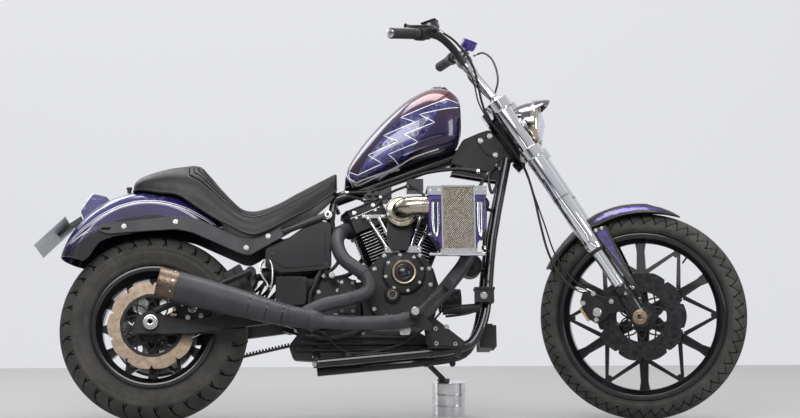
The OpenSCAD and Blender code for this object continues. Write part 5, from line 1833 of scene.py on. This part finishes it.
# %% Cylinders and rocker covers
CRANK = (815, 0, 415)
FIN = [(-62, -50), (-44, -70), (44, -70), (62, -50), (62, 50), (44, 70), (-44, 70), (-62, 50)]
HEAD_FIN = [(-62, -52), (-48, -72), (48, -72), (62, -52), (62, 52), (48, 72), (-48, 72), (-62, 52)]
ROCKER = [(-70, -34), (-52, -72), (52, -72), (70, -34), (70, 34), (52, 72), (-52, 72), (-70, 34)]
bm, edges, screws = bmesh.new(), bmesh.new(), bmesh.new()
for tilt in (-22.5, 22.5):
    bore = shift(*CRANK) @ turned(tilt)
    slab(bm, FIN, 118, 124, bore, -8)
    turn_profile(bm, [(0.01, 110), (52, 110), (52, 246), (0.01, 246)], bore, 64)
    for k in range(11):
        slab(bm, FIN, 130 + 10.2 * k, 132.6 + 10.2 * k, bore)
        slab(edges, FIN, 130.7 + 10.2 * k, 131.9 + 10.2 * k, bore, 0.5)
    slab(bm, HEAD_FIN, 243, 289, bore, -7)
    for k in range(5):
        slab(bm, HEAD_FIN, 244 + 9.6 * k, 247.4 + 9.6 * k, bore)
        slab(edges, HEAD_FIN, 244.9 + 9.6 * k, 246.5 + 9.6 * k, bore, 0.5)
    for low, high, grow in ((288, 297, 2), (297, 300, -1), (300, 322, 1), (322, 326, -6)):
        slab(bm, ROCKER, low, high, bore, grow)
    slab(edges, ROCKER, 296.6, 298.2, bore, 1.2)
    slab(bm, [(x * 0.62, y * 0.55) for x, y in ROCKER], 326, 331, bore)
    for x in (-52, 52):
        for y in (-46, 46):
            bolt(screws, bore @ Vector((x, y, 326)), bore.to_3x3() @ Vector((0, 0, 1)), 6.5, 6)
    for x in (-34, 34):
        bolt(screws, bore @ Vector((x, -73, 292)), bore.to_3x3() @ Vector((0, -1, 0)), 5, 4)
        bolt(screws, bore @ Vector((x, -74, 311)), bore.to_3x3() @ Vector((0, -1, 0)), 5.5, 5)
    rod(screws, bore @ Vector((0, -66, 268)), bore @ Vector((0, -92, 266)), 8, 6, 6)
    rod(screws, bore @ Vector((0, -92, 266)), bore @ Vector((0, -116, 264)), 5.5, 5, 16)
piece("cylinders_finned", bm, UP, "chassis", WRINKLE,
      ["rear_cylinder", "front_cylinder", "rocker_covers"], bevel=0.7)
piece("cylinder_fin_edges", edges, UP, "chassis", ALLOY)
piece("cylinder_screws", screws, UP, "chassis", ZINC)

# %% Pushrod tubes and lifter blocks
bm = bmesh.new()
for s in (-1, 1):
    foot, top = Vector((824 + s * 36, -93, 566)), Vector((815 + s * 86, -82, 670))
    for k in (-1, 1):
        a, b = foot + Vector((12 * k, 0, -5)), top + Vector((20 * k + s * 3, 0, 3))
        high = (b - a).length
        turn_profile(bm, [(0.01, 0), (10.6, 0), (10.6, 7), (9, 9), (7.4, 11), (7.4, high * 0.5),
                          (9, high * 0.5 + 2), (9, high * 0.5 + 9), (6.6, high * 0.5 + 11),
                          (6.6, high - 15), (9, high - 12), (9, high - 3), (0.01, high)],
                     placed(a, b - a), 32)
    block(bm, foot + Vector((-25, -14, -18)), foot + Vector((25, 14, 3)))
    block(bm, top + Vector((-40, -9, -2)), top + Vector((40, 14, 9)))
    for k in (-1, 1):
        bolt(bm, foot + Vector((17 * k, -14, -9)), (0, -1, 0), 4.6, 4)
        bolt(bm, top + Vector((31 * k, -9, 3.5)), (0, -1, 0), 4.2, 3)
piece("pushrod_set", bm, UP, "chassis", CHROME, ["pushrod_tubes"], bevel=1.2)
print("engine top:", made_pieces[-4:])

# %% Cam cover with its round lids
CAM = [(716, 350), (708, 440), (718, 500), (756, 548), (886, 548), (920, 500), (926, 440),
       (912, 350), (860, 322), (760, 322)]


def toward(x, y, z):
    """Local Z out of the machine's right side."""
    return shift(x, y, z) @ turned(90, "X")


bm, trim, screws = bmesh.new(), bmesh.new(), bmesh.new()
plate(bm, rounded(CAM, 26, 5), -110, -77)
plate(bm, rounded([(815 + (x - 815) * 0.93, 430 + (z - 430) * 0.93) for x, z in CAM], 26, 5), -113,
      -109)
turn_profile(bm, [(0.01, 26), (40, 26), (43, 24), (43, 18), (62, 16), (68, 13), (71, 8), (72, 0),
                  (0.01, 0)], toward(825, -112, 477), 96)
turn_profile(bm, [(0.01, 17), (15, 17), (16, 19), (21, 19), (24, 15), (25, 0), (0.01, 0)],
             toward(786, -112, 404), 48)
for k in range(20):
    way = polar(25, 18 * k)
    rod(bm, (786 + way.x, -112, 404 + way.y), (786 + way.x, -126, 404 + way.y), 2.6, sides=8)
for k in range(8):
    way = polar(61, 45 * k + 12)
    bolt(screws, (825 + way.x, -128, 477 + way.y), (0, -1, 0), 4.4, 4)
for x, z in CAM:
    inward = (Vector((815, 430)) - Vector((x, z))).normalized() * 13
    bolt(screws, (x + inward.x, -113, z + inward.y), (0, -1, 0), 5.4, 5)
turn_profile(trim, [(33, 27.6), (35, 29), (38.4, 29), (40.4, 27.4), (40.4, 25), (33, 25)],
             toward(825, -112, 477), 72, True)
turn_profile(trim, [(11, 19.8), (12, 21), (14, 21), (15, 19.8), (15, 17), (11, 17)],
             toward(786, -112, 404), 40, True)
piece("cam_cover_lids", bm, UP, "chassis", WRINKLE, ["cam_cover"], bevel=1.2)
piece("cam_cover_screws", screws, UP, "chassis", ZINC)
piece("cam_cover_rings", trim, UP, "chassis", STEEL)
bm = bmesh.new()
turn_profile(bm, [(0.01, 8), (10, 7.4), (17, 5), (20, 2), (24, 2.4), (27, 2), (29, 0), (0.01, 0)],
             toward(825, -138, 477), 48)
piece("cam_cover_dome", bm, UP, "chassis", GLOSS, sharp=30)

# %% Cases, primary cover and transmission
bm, screws = bmesh.new(), bmesh.new()
turn_profile(bm, [(0.01, 10), (60, 10), (66, 8), (70, 3), (71, 0), (0.01, 0)],
             shift(600, 170, 390) @ turned(-90, "X"), 80)
turn_profile(bm, [(0.01, 8), (44, 8), (50, 5), (52, 0), (0.01, 0)],
             shift(820, 170, 415) @ turned(-90, "X"), 64)
plate(bm, rounded([(492, 382), (492, 408), (530, 462), (640, 468), (676, 440), (676, 350),
                   (600, 336), (500, 336)], 12, 3), -70, -63)
plate(bm, rounded([(612, 344), (612, 458), (664, 454), (664, 344)], 12, 3), -114, -109)
for k in range(5):
    a = math.radians(72 * k + 20)
    bolt(screws, (600 + 58 * math.cos(a), 180, 390 + 58 * math.sin(a)), (0, 1, 0), 5, 4)
for a in range(-70, 80, 25):
    way = polar(80, a)
    bolt(screws, (820 + way.x, 170, 415 + way.y), (0, 1, 0), 5.5, 5)
for a in range(80, 230, 26):
    way = polar(98, a)
    bolt(screws, (580 + way.x, 170, 370 + way.y), (0, 1, 0), 5.5, 5)
for x, z in ((500, 396), (540, 453), (614, 459), (545, 423), (608, 428), (600, 346)):
    bolt(screws, (x, -70, z), (0, -1, 0), 5, 5)
for x, z in ((620, 448), (656, 446), (656, 352), (620, 352)):
    bolt(screws, (x, -114, z), (0, -1, 0), 4.6, 4)
piece("case_lids", bm, UP, "chassis", WRINKLE, bevel=1.4)
piece("case_screws", screws, UP, "chassis", ZINC)
for name in ("crankcase", "primary_cover", "transmission"):
    repaint(name, WRINKLE)
print("engine cases:", made_pieces[-6:])

# %% [markdown]
# A polished elbow feeds the engine from a boxy air cleaner. The cleaner's mesh is real
# crossed wire here: two sets of slanting rods catch the light as woven wire does, which no
# flat pattern can.

# %% Intake elbow and air cleaner
elbow = smooth_path([(819, -118, 672), (819, -150, 680), (820, -176, 680), (838, -200, 682),
                     (870, -206, 684), (904, -206, 684)], 8)
bm, screws = bmesh.new(), bmesh.new()
tube(bm, elbow, 33, 48)
turn_profile(bm, [(30, -4), (51, -4), (53, -1), (53, 3), (50, 6), (40, 8.5), (30, 9)],
             toward(819, -147, 680), 72, True)
for h in (12, 20):
    turn_profile(bm, [(33, h - 2), (35.4, h - 1), (35.4, h + 1), (33, h + 2)],
                 placed((872, -206, 684), (1, 0, 0)), 48, True)
for k in range(6):
    way = polar(46, 60 * k + 15)
    bolt(screws, (819 + way.x, -154, 680 + way.y), (0, -1, 0), 4.2, 4)
piece("intake_elbow_polished", bm, UP, "chassis", NICKEL, ["intake_elbow"],
      sharp=50)
BOX = [(902, 600), (902, 716), (918, 736), (1072, 736), (1088, 716), (1088, 604), (1050, 532),
       (944, 532)]
bm, trim = bmesh.new(), bmesh.new()
plate(bm, rounded(BOX, 9, 3), -246, -153)
piece("air_cleaner_box", bm, UP, "chassis", VIVID, ["air_cleaner"], bevel=5)
panels = bmesh.new()
for x0, x1, y in ((908, 940, -247), (1056, 1082, -247)):
    middle = (x0 + x1) / 2
    plate(panels, rounded([(x0, 604), (x0 + 2, 700), (x1 - 2, 700), (x1, 604), (middle + 8, 560),
                           (middle - 6, 560)], 6, 3), y - 1.6, y)
    for inset in (0, 4.5):
        path = [(x0 + 5 + inset, y - 2, 688), (x0 + 5 + inset, y - 2, 612),
                (middle, y - 2, 572 + inset),
                (x1 - 5 - inset, y - 2, 612), (x1 - 5 - inset, y - 2, 688)]
        tube(trim, smooth_path(path, 5), 0.9, 8)
piece("air_cleaner_panels", panels, UP, "chassis", PURPLE, bevel=0.6)
for x0, x1, z0, z1 in ((898, 944, 712, 742), (1050, 1092, 712, 742)):
    block(trim, (x0, -252, z0), (x1, -150, z1))
block(trim, (938, -254, 524), (1058, -160, 533))
for x in (943, 1048):
    block(trim, (x, -254, 528), (x + 5, -244, 744))
block(trim, (943, -254, 738), (1053, -160, 744))
for x in (908, 936, 1058, 1084):
    bolt(screws, (x, -252, 727), (0, -1, 0), 4, 3)
for x in (962, 1034):
    bolt(screws, (x, -254, 528.5), (0, -1, 0), 3.4, 2.4)
rod(trim, (904, -222, 521), (1086, -222, 521), 6)
piece("air_cleaner_trim", trim, UP, "chassis", CHROME, bevel=1.6)
piece("air_cleaner_screws", screws, UP, "chassis", ZINC)
# The filter core behind the mesh takes the near-black unlit finish, which paints the shade inside the
# cleaner.
bm = bmesh.new()
block(bm, (948, -246, 533), (1048, -240, 738))
piece("air_cleaner_core_shade", bm, UP, "chassis", BLACK_AND_SHADE, ["air_filter"], bevel=0.8)
bm = bmesh.new()
for way in (-1, 1):
    for k in range(-15, 30):
        z = 533 + k * 7.6
        run = []
        for t in (0, 1):
            run.append(Vector((948 + 100 * t if way == 1 else 1048 - 100 * t, -249 - 0.6 * way,
                               z + 100 * t)))
        a, b = run
        if b.z > 738:
            b = a + (b - a) * max(0, (738 - a.z) / (b.z - a.z))
        if a.z < 533:
            a = a + (b - a) * min(1, (533 - a.z) / max(b.z - a.z, 1e-6))
        if (b - a).length > 4:
            rod(bm, a, b, 1.25, sides=6)
piece("air_cleaner_mesh", bm, UP, "chassis", MESH, sharp=80)
print("intake:", made_pieces[-7:])

# %% [markdown]
# The exhaust is two pipes that meet in one collector and a cone-shaped muffler. Ceramic
# coat is matte, so joints, clamps and the heat-stained end band carry the interest.

# %% Exhaust pipes and muffler
FRONT_PIPE = [(971, -40, 638), (1006, -56, 634), (1044, -104, 600), (1044, -122, 548),
              (1022, -132, 500), (982, -168, 446), (930, -194, 382), (884, -205, 334),
              (824, -207, 308), (760, -206, 300), (680, -206, 298), (600, -208, 300),
              (520, -214, 308), (432, -232, 322)]
REAR_PIPE = [(659, -40, 638), (632, -62, 632), (612, -114, 606), (606, -150, 564),
             (628, -176, 512),
             (690, -190, 462), (708, -196, 424), (690, -200, 394), (630, -204, 374),
             (560, -208, 358),
             (500, -214, 330)]
bm, bright = bmesh.new(), bmesh.new()
front_run, rear_run = smooth_path(FRONT_PIPE, 8), smooth_path(REAR_PIPE, 8)
tube(bm, front_run, 24, 40)
tube(bm, rear_run, 23, 40)
tube(bm, smooth_path([(556, -210, 305), (530, -212, 308), (480, -222, 315), (430, -232.4, 322)],
                     6),
     lambda f: 24 + 9.5 * min(1, f * 3), 44)
for run, places in ((front_run, (24, 52, 70, 86)), (rear_run, (14, 40, 62))):
    for i in places:
        way = run[i + 1] - run[i]
        turn_profile(bm, [(22, -3.4), (25.4, -3), (25.9, 0), (25.4, 3), (22, 3.4)],
                     placed(run[i], way), 40, True)
for run in (front_run, rear_run):
    way = run[3] - run[0]
    turn_profile(bright, [(20, 0), (31, 0), (33, 2), (33, 8), (30, 10), (20, 10)],
                 placed(run[2], way), 48, True)
CLAMP = 96
way = (front_run[CLAMP + 1] - front_run[CLAMP]).normalized()
turn_profile(bm, [(31, -12), (35.4, -12), (36, -10), (36, 10), (35.4, 12), (31, 12)],
             placed(front_run[CLAMP], way), 56, True)
rod(bright, front_run[CLAMP] + Vector((0, -14, -36)), front_run[CLAMP] + Vector((0, 14, -36)), 4.5,
    sides=16)
piece("exhaust_pipe_pair", bm, UP, "chassis", CERAMIC, ["exhaust_pipes"], sharp=50)
piece("exhaust_flanges", bright, UP, "chassis", SATIN)
start, tip = Vector((428, -232.8, 322.8)), Vector((29, -246, 429))
muffler_axis = placed(start, tip - start)
length = (tip - start).length
bm = bmesh.new()
turn_profile(bm, [(30, -16), (35.6, -16), (36.2, -14), (36.2, -2), (35, 0), (36, 4), (41, 85),
                  (46, 165), (51, length - 67), (51.4, length - 65), (51.4, length - 63),
                  (30, length - 63)], muffler_axis, 96)
rings = bmesh.new()
for along, r in ((2, 36), (54, 39.1), (113, 42.8)):
    turn_profile(rings, [(r - 1, along - 2), (r + 0.9, along - 1.4), (r + 0.9, along + 1.4),
                         (r - 1, along + 2)], muffler_axis, 80, True)
piece("muffler_rings", rings, UP, "chassis", GLOSS)
piece("muffler_body", bm, UP, "chassis", CERAMIC, ["muffler"], sharp=30)
bm = bmesh.new()
turn_profile(bm, [(50, length - 63), (51.2, length - 62), (51.8, length - 57), (51.4, length - 52),
                  (51.4, length - 43), (51.9, length - 41), (51.4, length - 39), (51, length - 20),
                  (51.4, length - 14), (50.4, length - 3), (48.5, length), (39, length),
                  (37.6, length - 3), (37, length - 60), (36, length - 80)], muffler_axis, 96,
             True)
piece("muffler_tip", bm, UP, "chassis", BURNT, sharp=30)
# Painted shade: a near-black disc inside the tip stands for the shade in the pipe.
bm = bmesh.new()
turn_profile(bm, [(0.01, length - 66), (37.2, length - 66), (37.2, length - 70),
                  (0.01, length - 70)],
             muffler_axis, 64)
piece("muffler_throat_shade", bm, UP, "chassis", BLACK_AND_SHADE)
bm = bmesh.new()
for k in range(9):
    way = polar(51.8, 40 * k + 10)
    bolt(bm, muffler_axis @ Vector((way.x, way.y, length - 48)),
         muffler_axis.to_3x3() @ Vector((way.x, way.y, 0)), 2.6, 1.6, False)
plate(bm, rounded([(806, 262), (804, 330), (820, 338), (842, 280), (838, 262)], 6, 2), -182, -178)
bolt(bm, (824, -183, 276), (0, -1, 0), 6, 5)
piece("exhaust_rivets", bm, UP, "chassis", ZINC)
print("exhaust:", made_pieces[-6:])

# %% [markdown]
# What is left is the frame with the parts that hang on it. The tubes already have their
# right shape, so they keep it and get a better coat; plates, clamps, bolts, springs and
# hoses are added where a workshop would put them.

# %% Frame, swingarm and what they carry
COATS = {GLOSS: ("frame_neck", "frame_downtubes", "frame_rails", "frame_uprights", "side_stand"),
         SATIN: ("swingarm_lower", "swingarm_upper", "left_foot_controls", "right_foot_controls",
                 "side_panels", "horn", "oil_filter", "shock_absorber"),
         RUBBER: ("drive_belt",), ZINC: ("rear_pulley",)}
for coat, names in COATS.items():
    for name in names:
        repaint(name, coat)
bm, screws, panels, dark_screws = (bmesh.new() for _ in range(4))
GUSSET = [(992, 872), (1058, 848), (1128, 838), (1166, 884), (1176, 926), (1128, 986), (1096, 976),
          (1036, 950)]
INSET = [(1078, 958), (1112, 900), (1156, 884), (1164, 922), (1126, 974), (1096, 966)]
PANEL = [(372, 512), (374, 566), (408, 574), (500, 640), (540, 660), (586, 652), (588, 500),
         (552, 492), (420, 482)]
LOWER_PANEL = [(403, 374), (403, 470), (508, 470), (500, 376)]
for side in (-1, 1):
    plate(bm, rounded(GUSSET, 9, 3), 29 * side, 36 * side)
    plate(bm, rounded(INSET, 6, 3), 36 * side, 41 * side)
    for x, z in ((1128, 962), (1096, 946), (1146, 896)):
        bolt(screws, (x, 41 * side, z), (0, side, 0), 7, 5)
    plate(panels, rounded(PANEL, 12, 3), 89 * side, 97 * side)
    plate(panels, rounded([(x * 0.8 + 96, z * 0.8 + 112) for x, z in PANEL], 10, 3), 97 * side,
          100 * side)
    plate(panels, rounded(LOWER_PANEL, 10, 3), 92 * side, 99 * side)
    for x, z in ((392, 548), (572, 636), (566, 512), (412, 388), (496, 460)):
        bolt(dark_screws, (x, 97 * side, z), (0, side, 0), 5.5, 4)
    for x, z in ((588, 470), (556, 330)):
        rod(bm, (x, 100 * side, z), (x, 126 * side, z), 11, sides=24)
        bolt(screws, (x, 126 * side, z), (0, side, 0), 8, 6)
    turn_profile(bm, [(0.01, 14), (20, 14), (26, 11), (28, 6), (28, 0), (0.01, 0)],
                 shift(450, 148 * side, 340) @ turned(-90 * side, "X"), 48)
    bolt(screws, (450, 162 * side, 340), (0, side, 0), 14, 7)
    for x in range(640, 1020, 90):
        rod(bm, (x, 110 * side, 206), (x, 132 * side, 206), 10, sides=20)
piece("side_cover_faces", panels, UP, "chassis", GLOSS, bevel=2)
piece("side_cover_screws", dark_screws, UP, "chassis", STRUT)
# A dark cover closes the side below the engine, and a block fills the valley of the V.
plate(bm, rounded([(446, 240), (485, 292), (868, 286), (912, 262), (1000, 236), (1016, 222),
                   (912, 208), (557, 188), (462, 194)], 12, 3), -96, -62)
for z, x0, x1 in ((270, 500, 860), (248, 480, 930), (226, 470, 960)):
    rod(bm, (x0, -98, z), (x1, -98, z - 4), 7, sides=20)
for x, z in ((560, 282), (690, 279), (820, 276), (530, 204), (760, 212)):
    bolt(screws, (x, -97, z), (0, -1, 0), 5, 4)
plate(bm, rounded([(772, 690), (855, 690), (855, 613), (840, 552), (787, 552), (772, 584)], 8, 3),
      -128, -50)
# The tyre side of the fender is closed by a curved guard.
guard = []
for k in range(14):
    a = math.radians(10 + 2 * k)
    guard.append([Vector((r * math.cos(a), y, 311 + r * math.sin(a)))
                  for r, y in ((322, -78), (322, 78), (330, 78), (330, -78))])
skin(bm, guard)
plate(bm, rounded([(228, 486), (284, 520), (334, 426), (262, 416)], 8, 3), -70, -24)
piece("frame_plates", bm, UP, "chassis", SATIN, bevel=1.2)
piece("frame_screws", screws, UP, "chassis", ZINC)

bm, bright = bmesh.new(), bmesh.new()
for side in (-1, 1):
    tube(bm, smooth_path([(34, 132 * side, 290), (150, 134 * side, 284), (306, 132 * side, 292)],
                         6),
         9, 20)
    block(bm, (-34, 132 * side - 6, 286), (44, 132 * side + 6, 336))
    bolt(bright, (-46, 132 * side, 311), (-1, 0, 0), 8, 7, False)
    rod(bright, (-34, 132 * side, 311), (-58, 132 * side, 311), 4, sides=16)
    hexagon(bright, (-34, 132 * side, 311), (-1, 0, 0), 8, 8)
tube(bright, smooth_path([(364, -104, 524), (352, -106, 500), (360, -108, 470), (376, -106, 446),
                          (374, -104, 424)], 8), 5, 16, flat=0.5)
tube(bright, smooth_path([(384, -104, 524), (392, -106, 500), (392, -108, 460), (386, -104, 424)],
                         8),
     3.6, 16)
coil = [Vector((30 * math.cos(k * 0.42), 30 * math.sin(k * 0.42), 1.7 * k)) for k in range(78)]
spring = placed((322, 0, 474), (92, 0, -66)) @ shift(z=8)
tube(bm, [spring @ p for p in coil], 5, 12)
piece("swingarm_bars", bm, UP, "chassis", SATIN, bevel=1)
piece("swingarm_trim", bright, UP, "chassis", ZINC)
caliper("rear", UP, "chassis",
        [(90, 326), (80, 360), (94, 388), (136, 410), (178, 392), (186, 342), (150, 318)],
        -120, -72, [(132, 362, 15)], [(100, 376), (118, 332), (160, 338), (164, 384)],
        [(60, 338, 82, 346)], ["rear_caliper"])
print("frame:", made_pieces[-7:])

# %% Belt teeth and pulley
bm = bmesh.new()
low_a, low_b = Vector((30.6, 0, 176.4)), Vector((571.5, 0, 299.3))
way = (low_b - low_a).normalized()
for k in range(50):
    at = low_a + way * (6 + 11 * k)
    block(bm, (-3, 94, 1), (3, 118, 5.4), Matrix.Translation(at) @ turned(-12.8))
piece("belt_teeth", bm, UP, "chassis", RUBBER)
bm = bmesh.new()
pulley = REAR @ turned(-90, "X")
for k in range(60):
    a = math.tau * k / 60
    rod(bm, (135.6 * math.cos(a), 135.6 * math.sin(a), 92.5),
        (135.6 * math.cos(a), 135.6 * math.sin(a), 119.5), 2.6, sides=6)
for k in range(5):
    p = polar(56, 72 * k + 30)
    hexagon(bm, (p.x, p.y, 119), (0, 0, 1), 8, 7)
piece("pulley_teeth", bm, pulley, "rear_wheel_body", ZINC)

# %% [markdown]
# The foot controls are forward of the engine. Rubber on a peg is a row of ribs, and the
# rear brake's cylinder and its bottle sit on the plate beside it.

# %% Foot controls, filter and horn
bm, rubber, bright = bmesh.new(), bmesh.new(), bmesh.new()
for side in (-1, 1):
    peg = shift(850, 240 * side, 322) @ turned(-90 * side, "X")
    turn_profile(bright, [(0.01, 61), (12, 61), (14, 59), (14, 55), (0.01, 55)], peg, 32)
    for k in range(9):
        turn_profile(rubber, [(13, 3 + 5.8 * k), (16.4, 3.8 + 5.8 * k), (16.4, 6.6 + 5.8 * k),
                              (13, 7.4 + 5.8 * k)], peg, 28, True)
    x, z = (956, 412) if side < 0 else (936, 420)
    pad = shift(x, (244 if side < 0 else 190) * side, z) @ turned(-90 * side, "X")
    for k in range(8):
        turn_profile(rubber, [(12, 2 + 5.6 * k), (15, 2.8 + 5.6 * k), (15, 5.2 + 5.6 * k),
                              (12, 6 + 5.6 * k)], pad, 24, True)
for x, z in ((924, 286), (988, 236), (926, 238), (960, 292)):
    bolt(bright, (x, -152, z), (0, -1, 0), 7, 5)
plate(bm, rounded([(884, 318), (892, 232), (1008, 226), (1012, 244), (906, 334)], 8, 3), -156,
      -152)
block(bm, (1056, -163, 372), (1118, -123, 414))
block(bm, (1053, -166, 414), (1121, -120, 422))
bolt(bright, (1084, -163, 394), (0, -1, 0), 9, 5)
bellows = placed((1012, -141, 352), (-1, 0, -0.07))
for k in range(7):
    turn_profile(rubber, [(10, 6.4 * k), (16.4, 3.2 + 6.4 * k), (10, 6.4 + 6.4 * k)], bellows, 28,
                 True)
tube(rubber, smooth_path([(1070, -150, 366), (1052, -146, 344), (1010, -140, 334),
                          (960, -128, 330)],
                         8), 4, 14)
tube(rubber, smooth_path([(950, -136, 350), (900, -130, 300), (800, -124, 236), (640, -122, 214),
                          (520, -122, 300), (330, -126, 316), (190, -120, 330)], 10), 3.4, 14)
rod(bright, (948, -170, 372), (948, -120, 350), 5, sides=16)
can = placed((946, -30, 398), (1, 0, 0))
turn_profile(bm, [(0.01, 75), (20, 75), (34, 71), (38.6, 64), (38.6, 6), (36, 2), (0.01, 2)], can,
             56)
for k in range(16):
    a = math.tau * k / 16
    rod(bm, can @ Vector((37.5 * math.cos(a), 37.5 * math.sin(a), 50)),
        can @ Vector((36.5 * math.cos(a), 36.5 * math.sin(a), 70)), 3, sides=8)
for x, z, r in ((1050, 506, 38), (1088, 714, 28)):
    turn_profile(bm, [(0.01, 6), (r * 0.3, 7), (r * 0.36, 3), (r * 0.8, 3.4), (r * 0.86, 7),
                      (r * 0.98, 6), (r + 0.6, 0), (0.01, 0)], toward(x, -96, z), 56)
block(bm, (1077, -60, 236), (1121, 60, 316))
for k in range(7):
    block(bm, (1121, -56 + 16 * k, 240), (1134, -50 + 16 * k, 312))
piece("foot_control_covers", bm, UP, "chassis", SATIN, bevel=1.2)
piece("foot_control_rubber", rubber, UP, "chassis", RUBBER, sharp=50)
piece("foot_control_bolts", bright, UP, "chassis", ZINC)
print("foot controls:", made_pieces[-3:])

# %% Wires, coils and hoses below the tank
bm, ends = bmesh.new(), bmesh.new()
LOOMS = [([(640, -20, 770), (720, -34, 772), (800, -30, 800), (900, -26, 836), (1010, -30, 850),
           (1090, -36, 840)], 7), ([(1120, -40, 830), (1090, -52, 780), (1104, -60, 720),
                                    (1100, -90, 640), (1094, -98, 560)], 6),
         ([(1150, -36, 860), (1120, -58, 820), (1128, -62, 760), (1150, -50, 800),
           (1160, -30, 850)], 5),
         ([(612, -20, 700), (604, -50, 730), (640, -60, 748), (700, -40, 740)], 5),
         ([(700, -58, 664), (742, -70, 720), (790, -60, 762), (850, -40, 790)], 4.5),
         ([(946, -66, 660), (930, -74, 720), (880, -60, 768), (846, -40, 790)], 4.5),
         ([(560, -90, 470), (610, -104, 520), (600, -80, 600), (590, -60, 690)], 6),
         ([(720, -60, 332), (660, -120, 280), (560, -110, 262), (470, -60, 300)], 7),
         ([(500, 40, 480), (640, 60, 500), (700, 50, 560)], 8)]
for run, r in LOOMS:
    path = smooth_path(run, 8)
    tube(bm, path, r, 16)
    for i in (0, len(path) - 1):
        way = path[1] - path[0] if i == 0 else path[-2] - path[-1]
        turn_profile(ends, [(r, -2), (r + 2.4, -2), (r + 2.4, 9), (r, 9)], placed(path[i], way),
                     24,
                     True)
block(bm, (700, -34, 742), (792, 34, 786))
block(bm, (846, -30, 776), (900, 30, 816))
for x in (716, 740, 764):
    rod(bm, (x, -34, 762), (x, -48, 762), 8, sides=20)
bolt(ends, (756, -34, 752), (0, -1, 0), 5, 4)
piece("looms_and_coil", bm, UP, "chassis", PLASTIC, bevel=1.5, sharp=50)
piece("loom_ferrules", ends, UP, "chassis", ZINC)

# %% [markdown]
# The stand's leg is a thin bent rod with its return spring. Its foot rests on a stack of
# three turned aluminium discs. Fine grooves from the lathe run round each disc.

# %% Side stand and the stack of discs
DISC_R, DISC_H = 57.5, 38.4
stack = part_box("stand_discs")
centre = [(low + high) / 2 for low, high in zip(*stack)]
ground = Matrix.Translation((centre[0], centre[1], 0)) @ Matrix.Scale(0.001, 4)
bm = bmesh.new()
for k in range(3):
    z = DISC_H * k
    profile = [(0.01, z), (DISC_R - 1.4, z), (DISC_R - 0.2, z + 1.2)]
    for g in range(11):
        h = z + 3 + 3.1 * g
        profile += [(DISC_R - 0.05, h), (DISC_R - 0.3, h + 0.35), (DISC_R - 0.05, h + 0.7)]
    profile += [(DISC_R - 0.2, z + DISC_H - 1.2), (DISC_R - 1.4, z + DISC_H - 0.1),
                (0.01, z + DISC_H - 0.1)]
    turn_profile(bm, profile, None, 96)
piece("stand_disc_stack", bm, ground, "chassis", ALLOY, ["stand_discs"],
      sharp=30)
pivot, swing = joint("side_stand_swing")
stand_low = Vector((centre[0] - 0.018, centre[1], 0.1152))
bm, bright = bmesh.new(), bmesh.new()
metres = Matrix.Scale(0.001, 4)
down = [p * 1000 for p in (pivot, pivot.lerp(stand_low, 0.4) + Vector((-0.006, 0, 0.003)),
                           pivot.lerp(stand_low, 0.75) + Vector((0.002, 0, 0.004)),
                           stand_low + Vector((0, 0, 0.014)))]
coil_way = (down[3] - down[0]).normalized()
spring = placed(down[0] + coil_way * 26 + Vector((-13, 4, 6)), coil_way)
tube(bright, [spring @ Vector((5 * math.cos(k * 0.9), 5 * math.sin(k * 0.9), 0.42 * k))
              for k in range(130)], 1.3, 8)
turn_profile(bm, [(0.01, 1), (20, 1), (21.5, 3), (21.5, 9), (19, 12), (0.01, 13)],
             Matrix.Translation(stand_low * 1000), 40)
turn_profile(bm, [(0.01, 16), (9, 16), (11, 14), (17, 12), (17, -12), (11, -14), (9, -16),
                  (0.01, -16)],
             placed(pivot * 1000, swing), 32)
piece("stand_foot_pad", bm, metres, "side_stand_body", GLOSS, bevel=0.6)
piece("stand_spring", bright, metres, "side_stand_body", ZINC)
print("stand:", made_pieces[-3:], "and", len(made_pieces), "pieces in all")

for low_high in ((cad_box, "cad"), (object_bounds(), "model")):
    print(low_high[1], [[round(v, 3) for v in corner] for corner in low_high[0]])
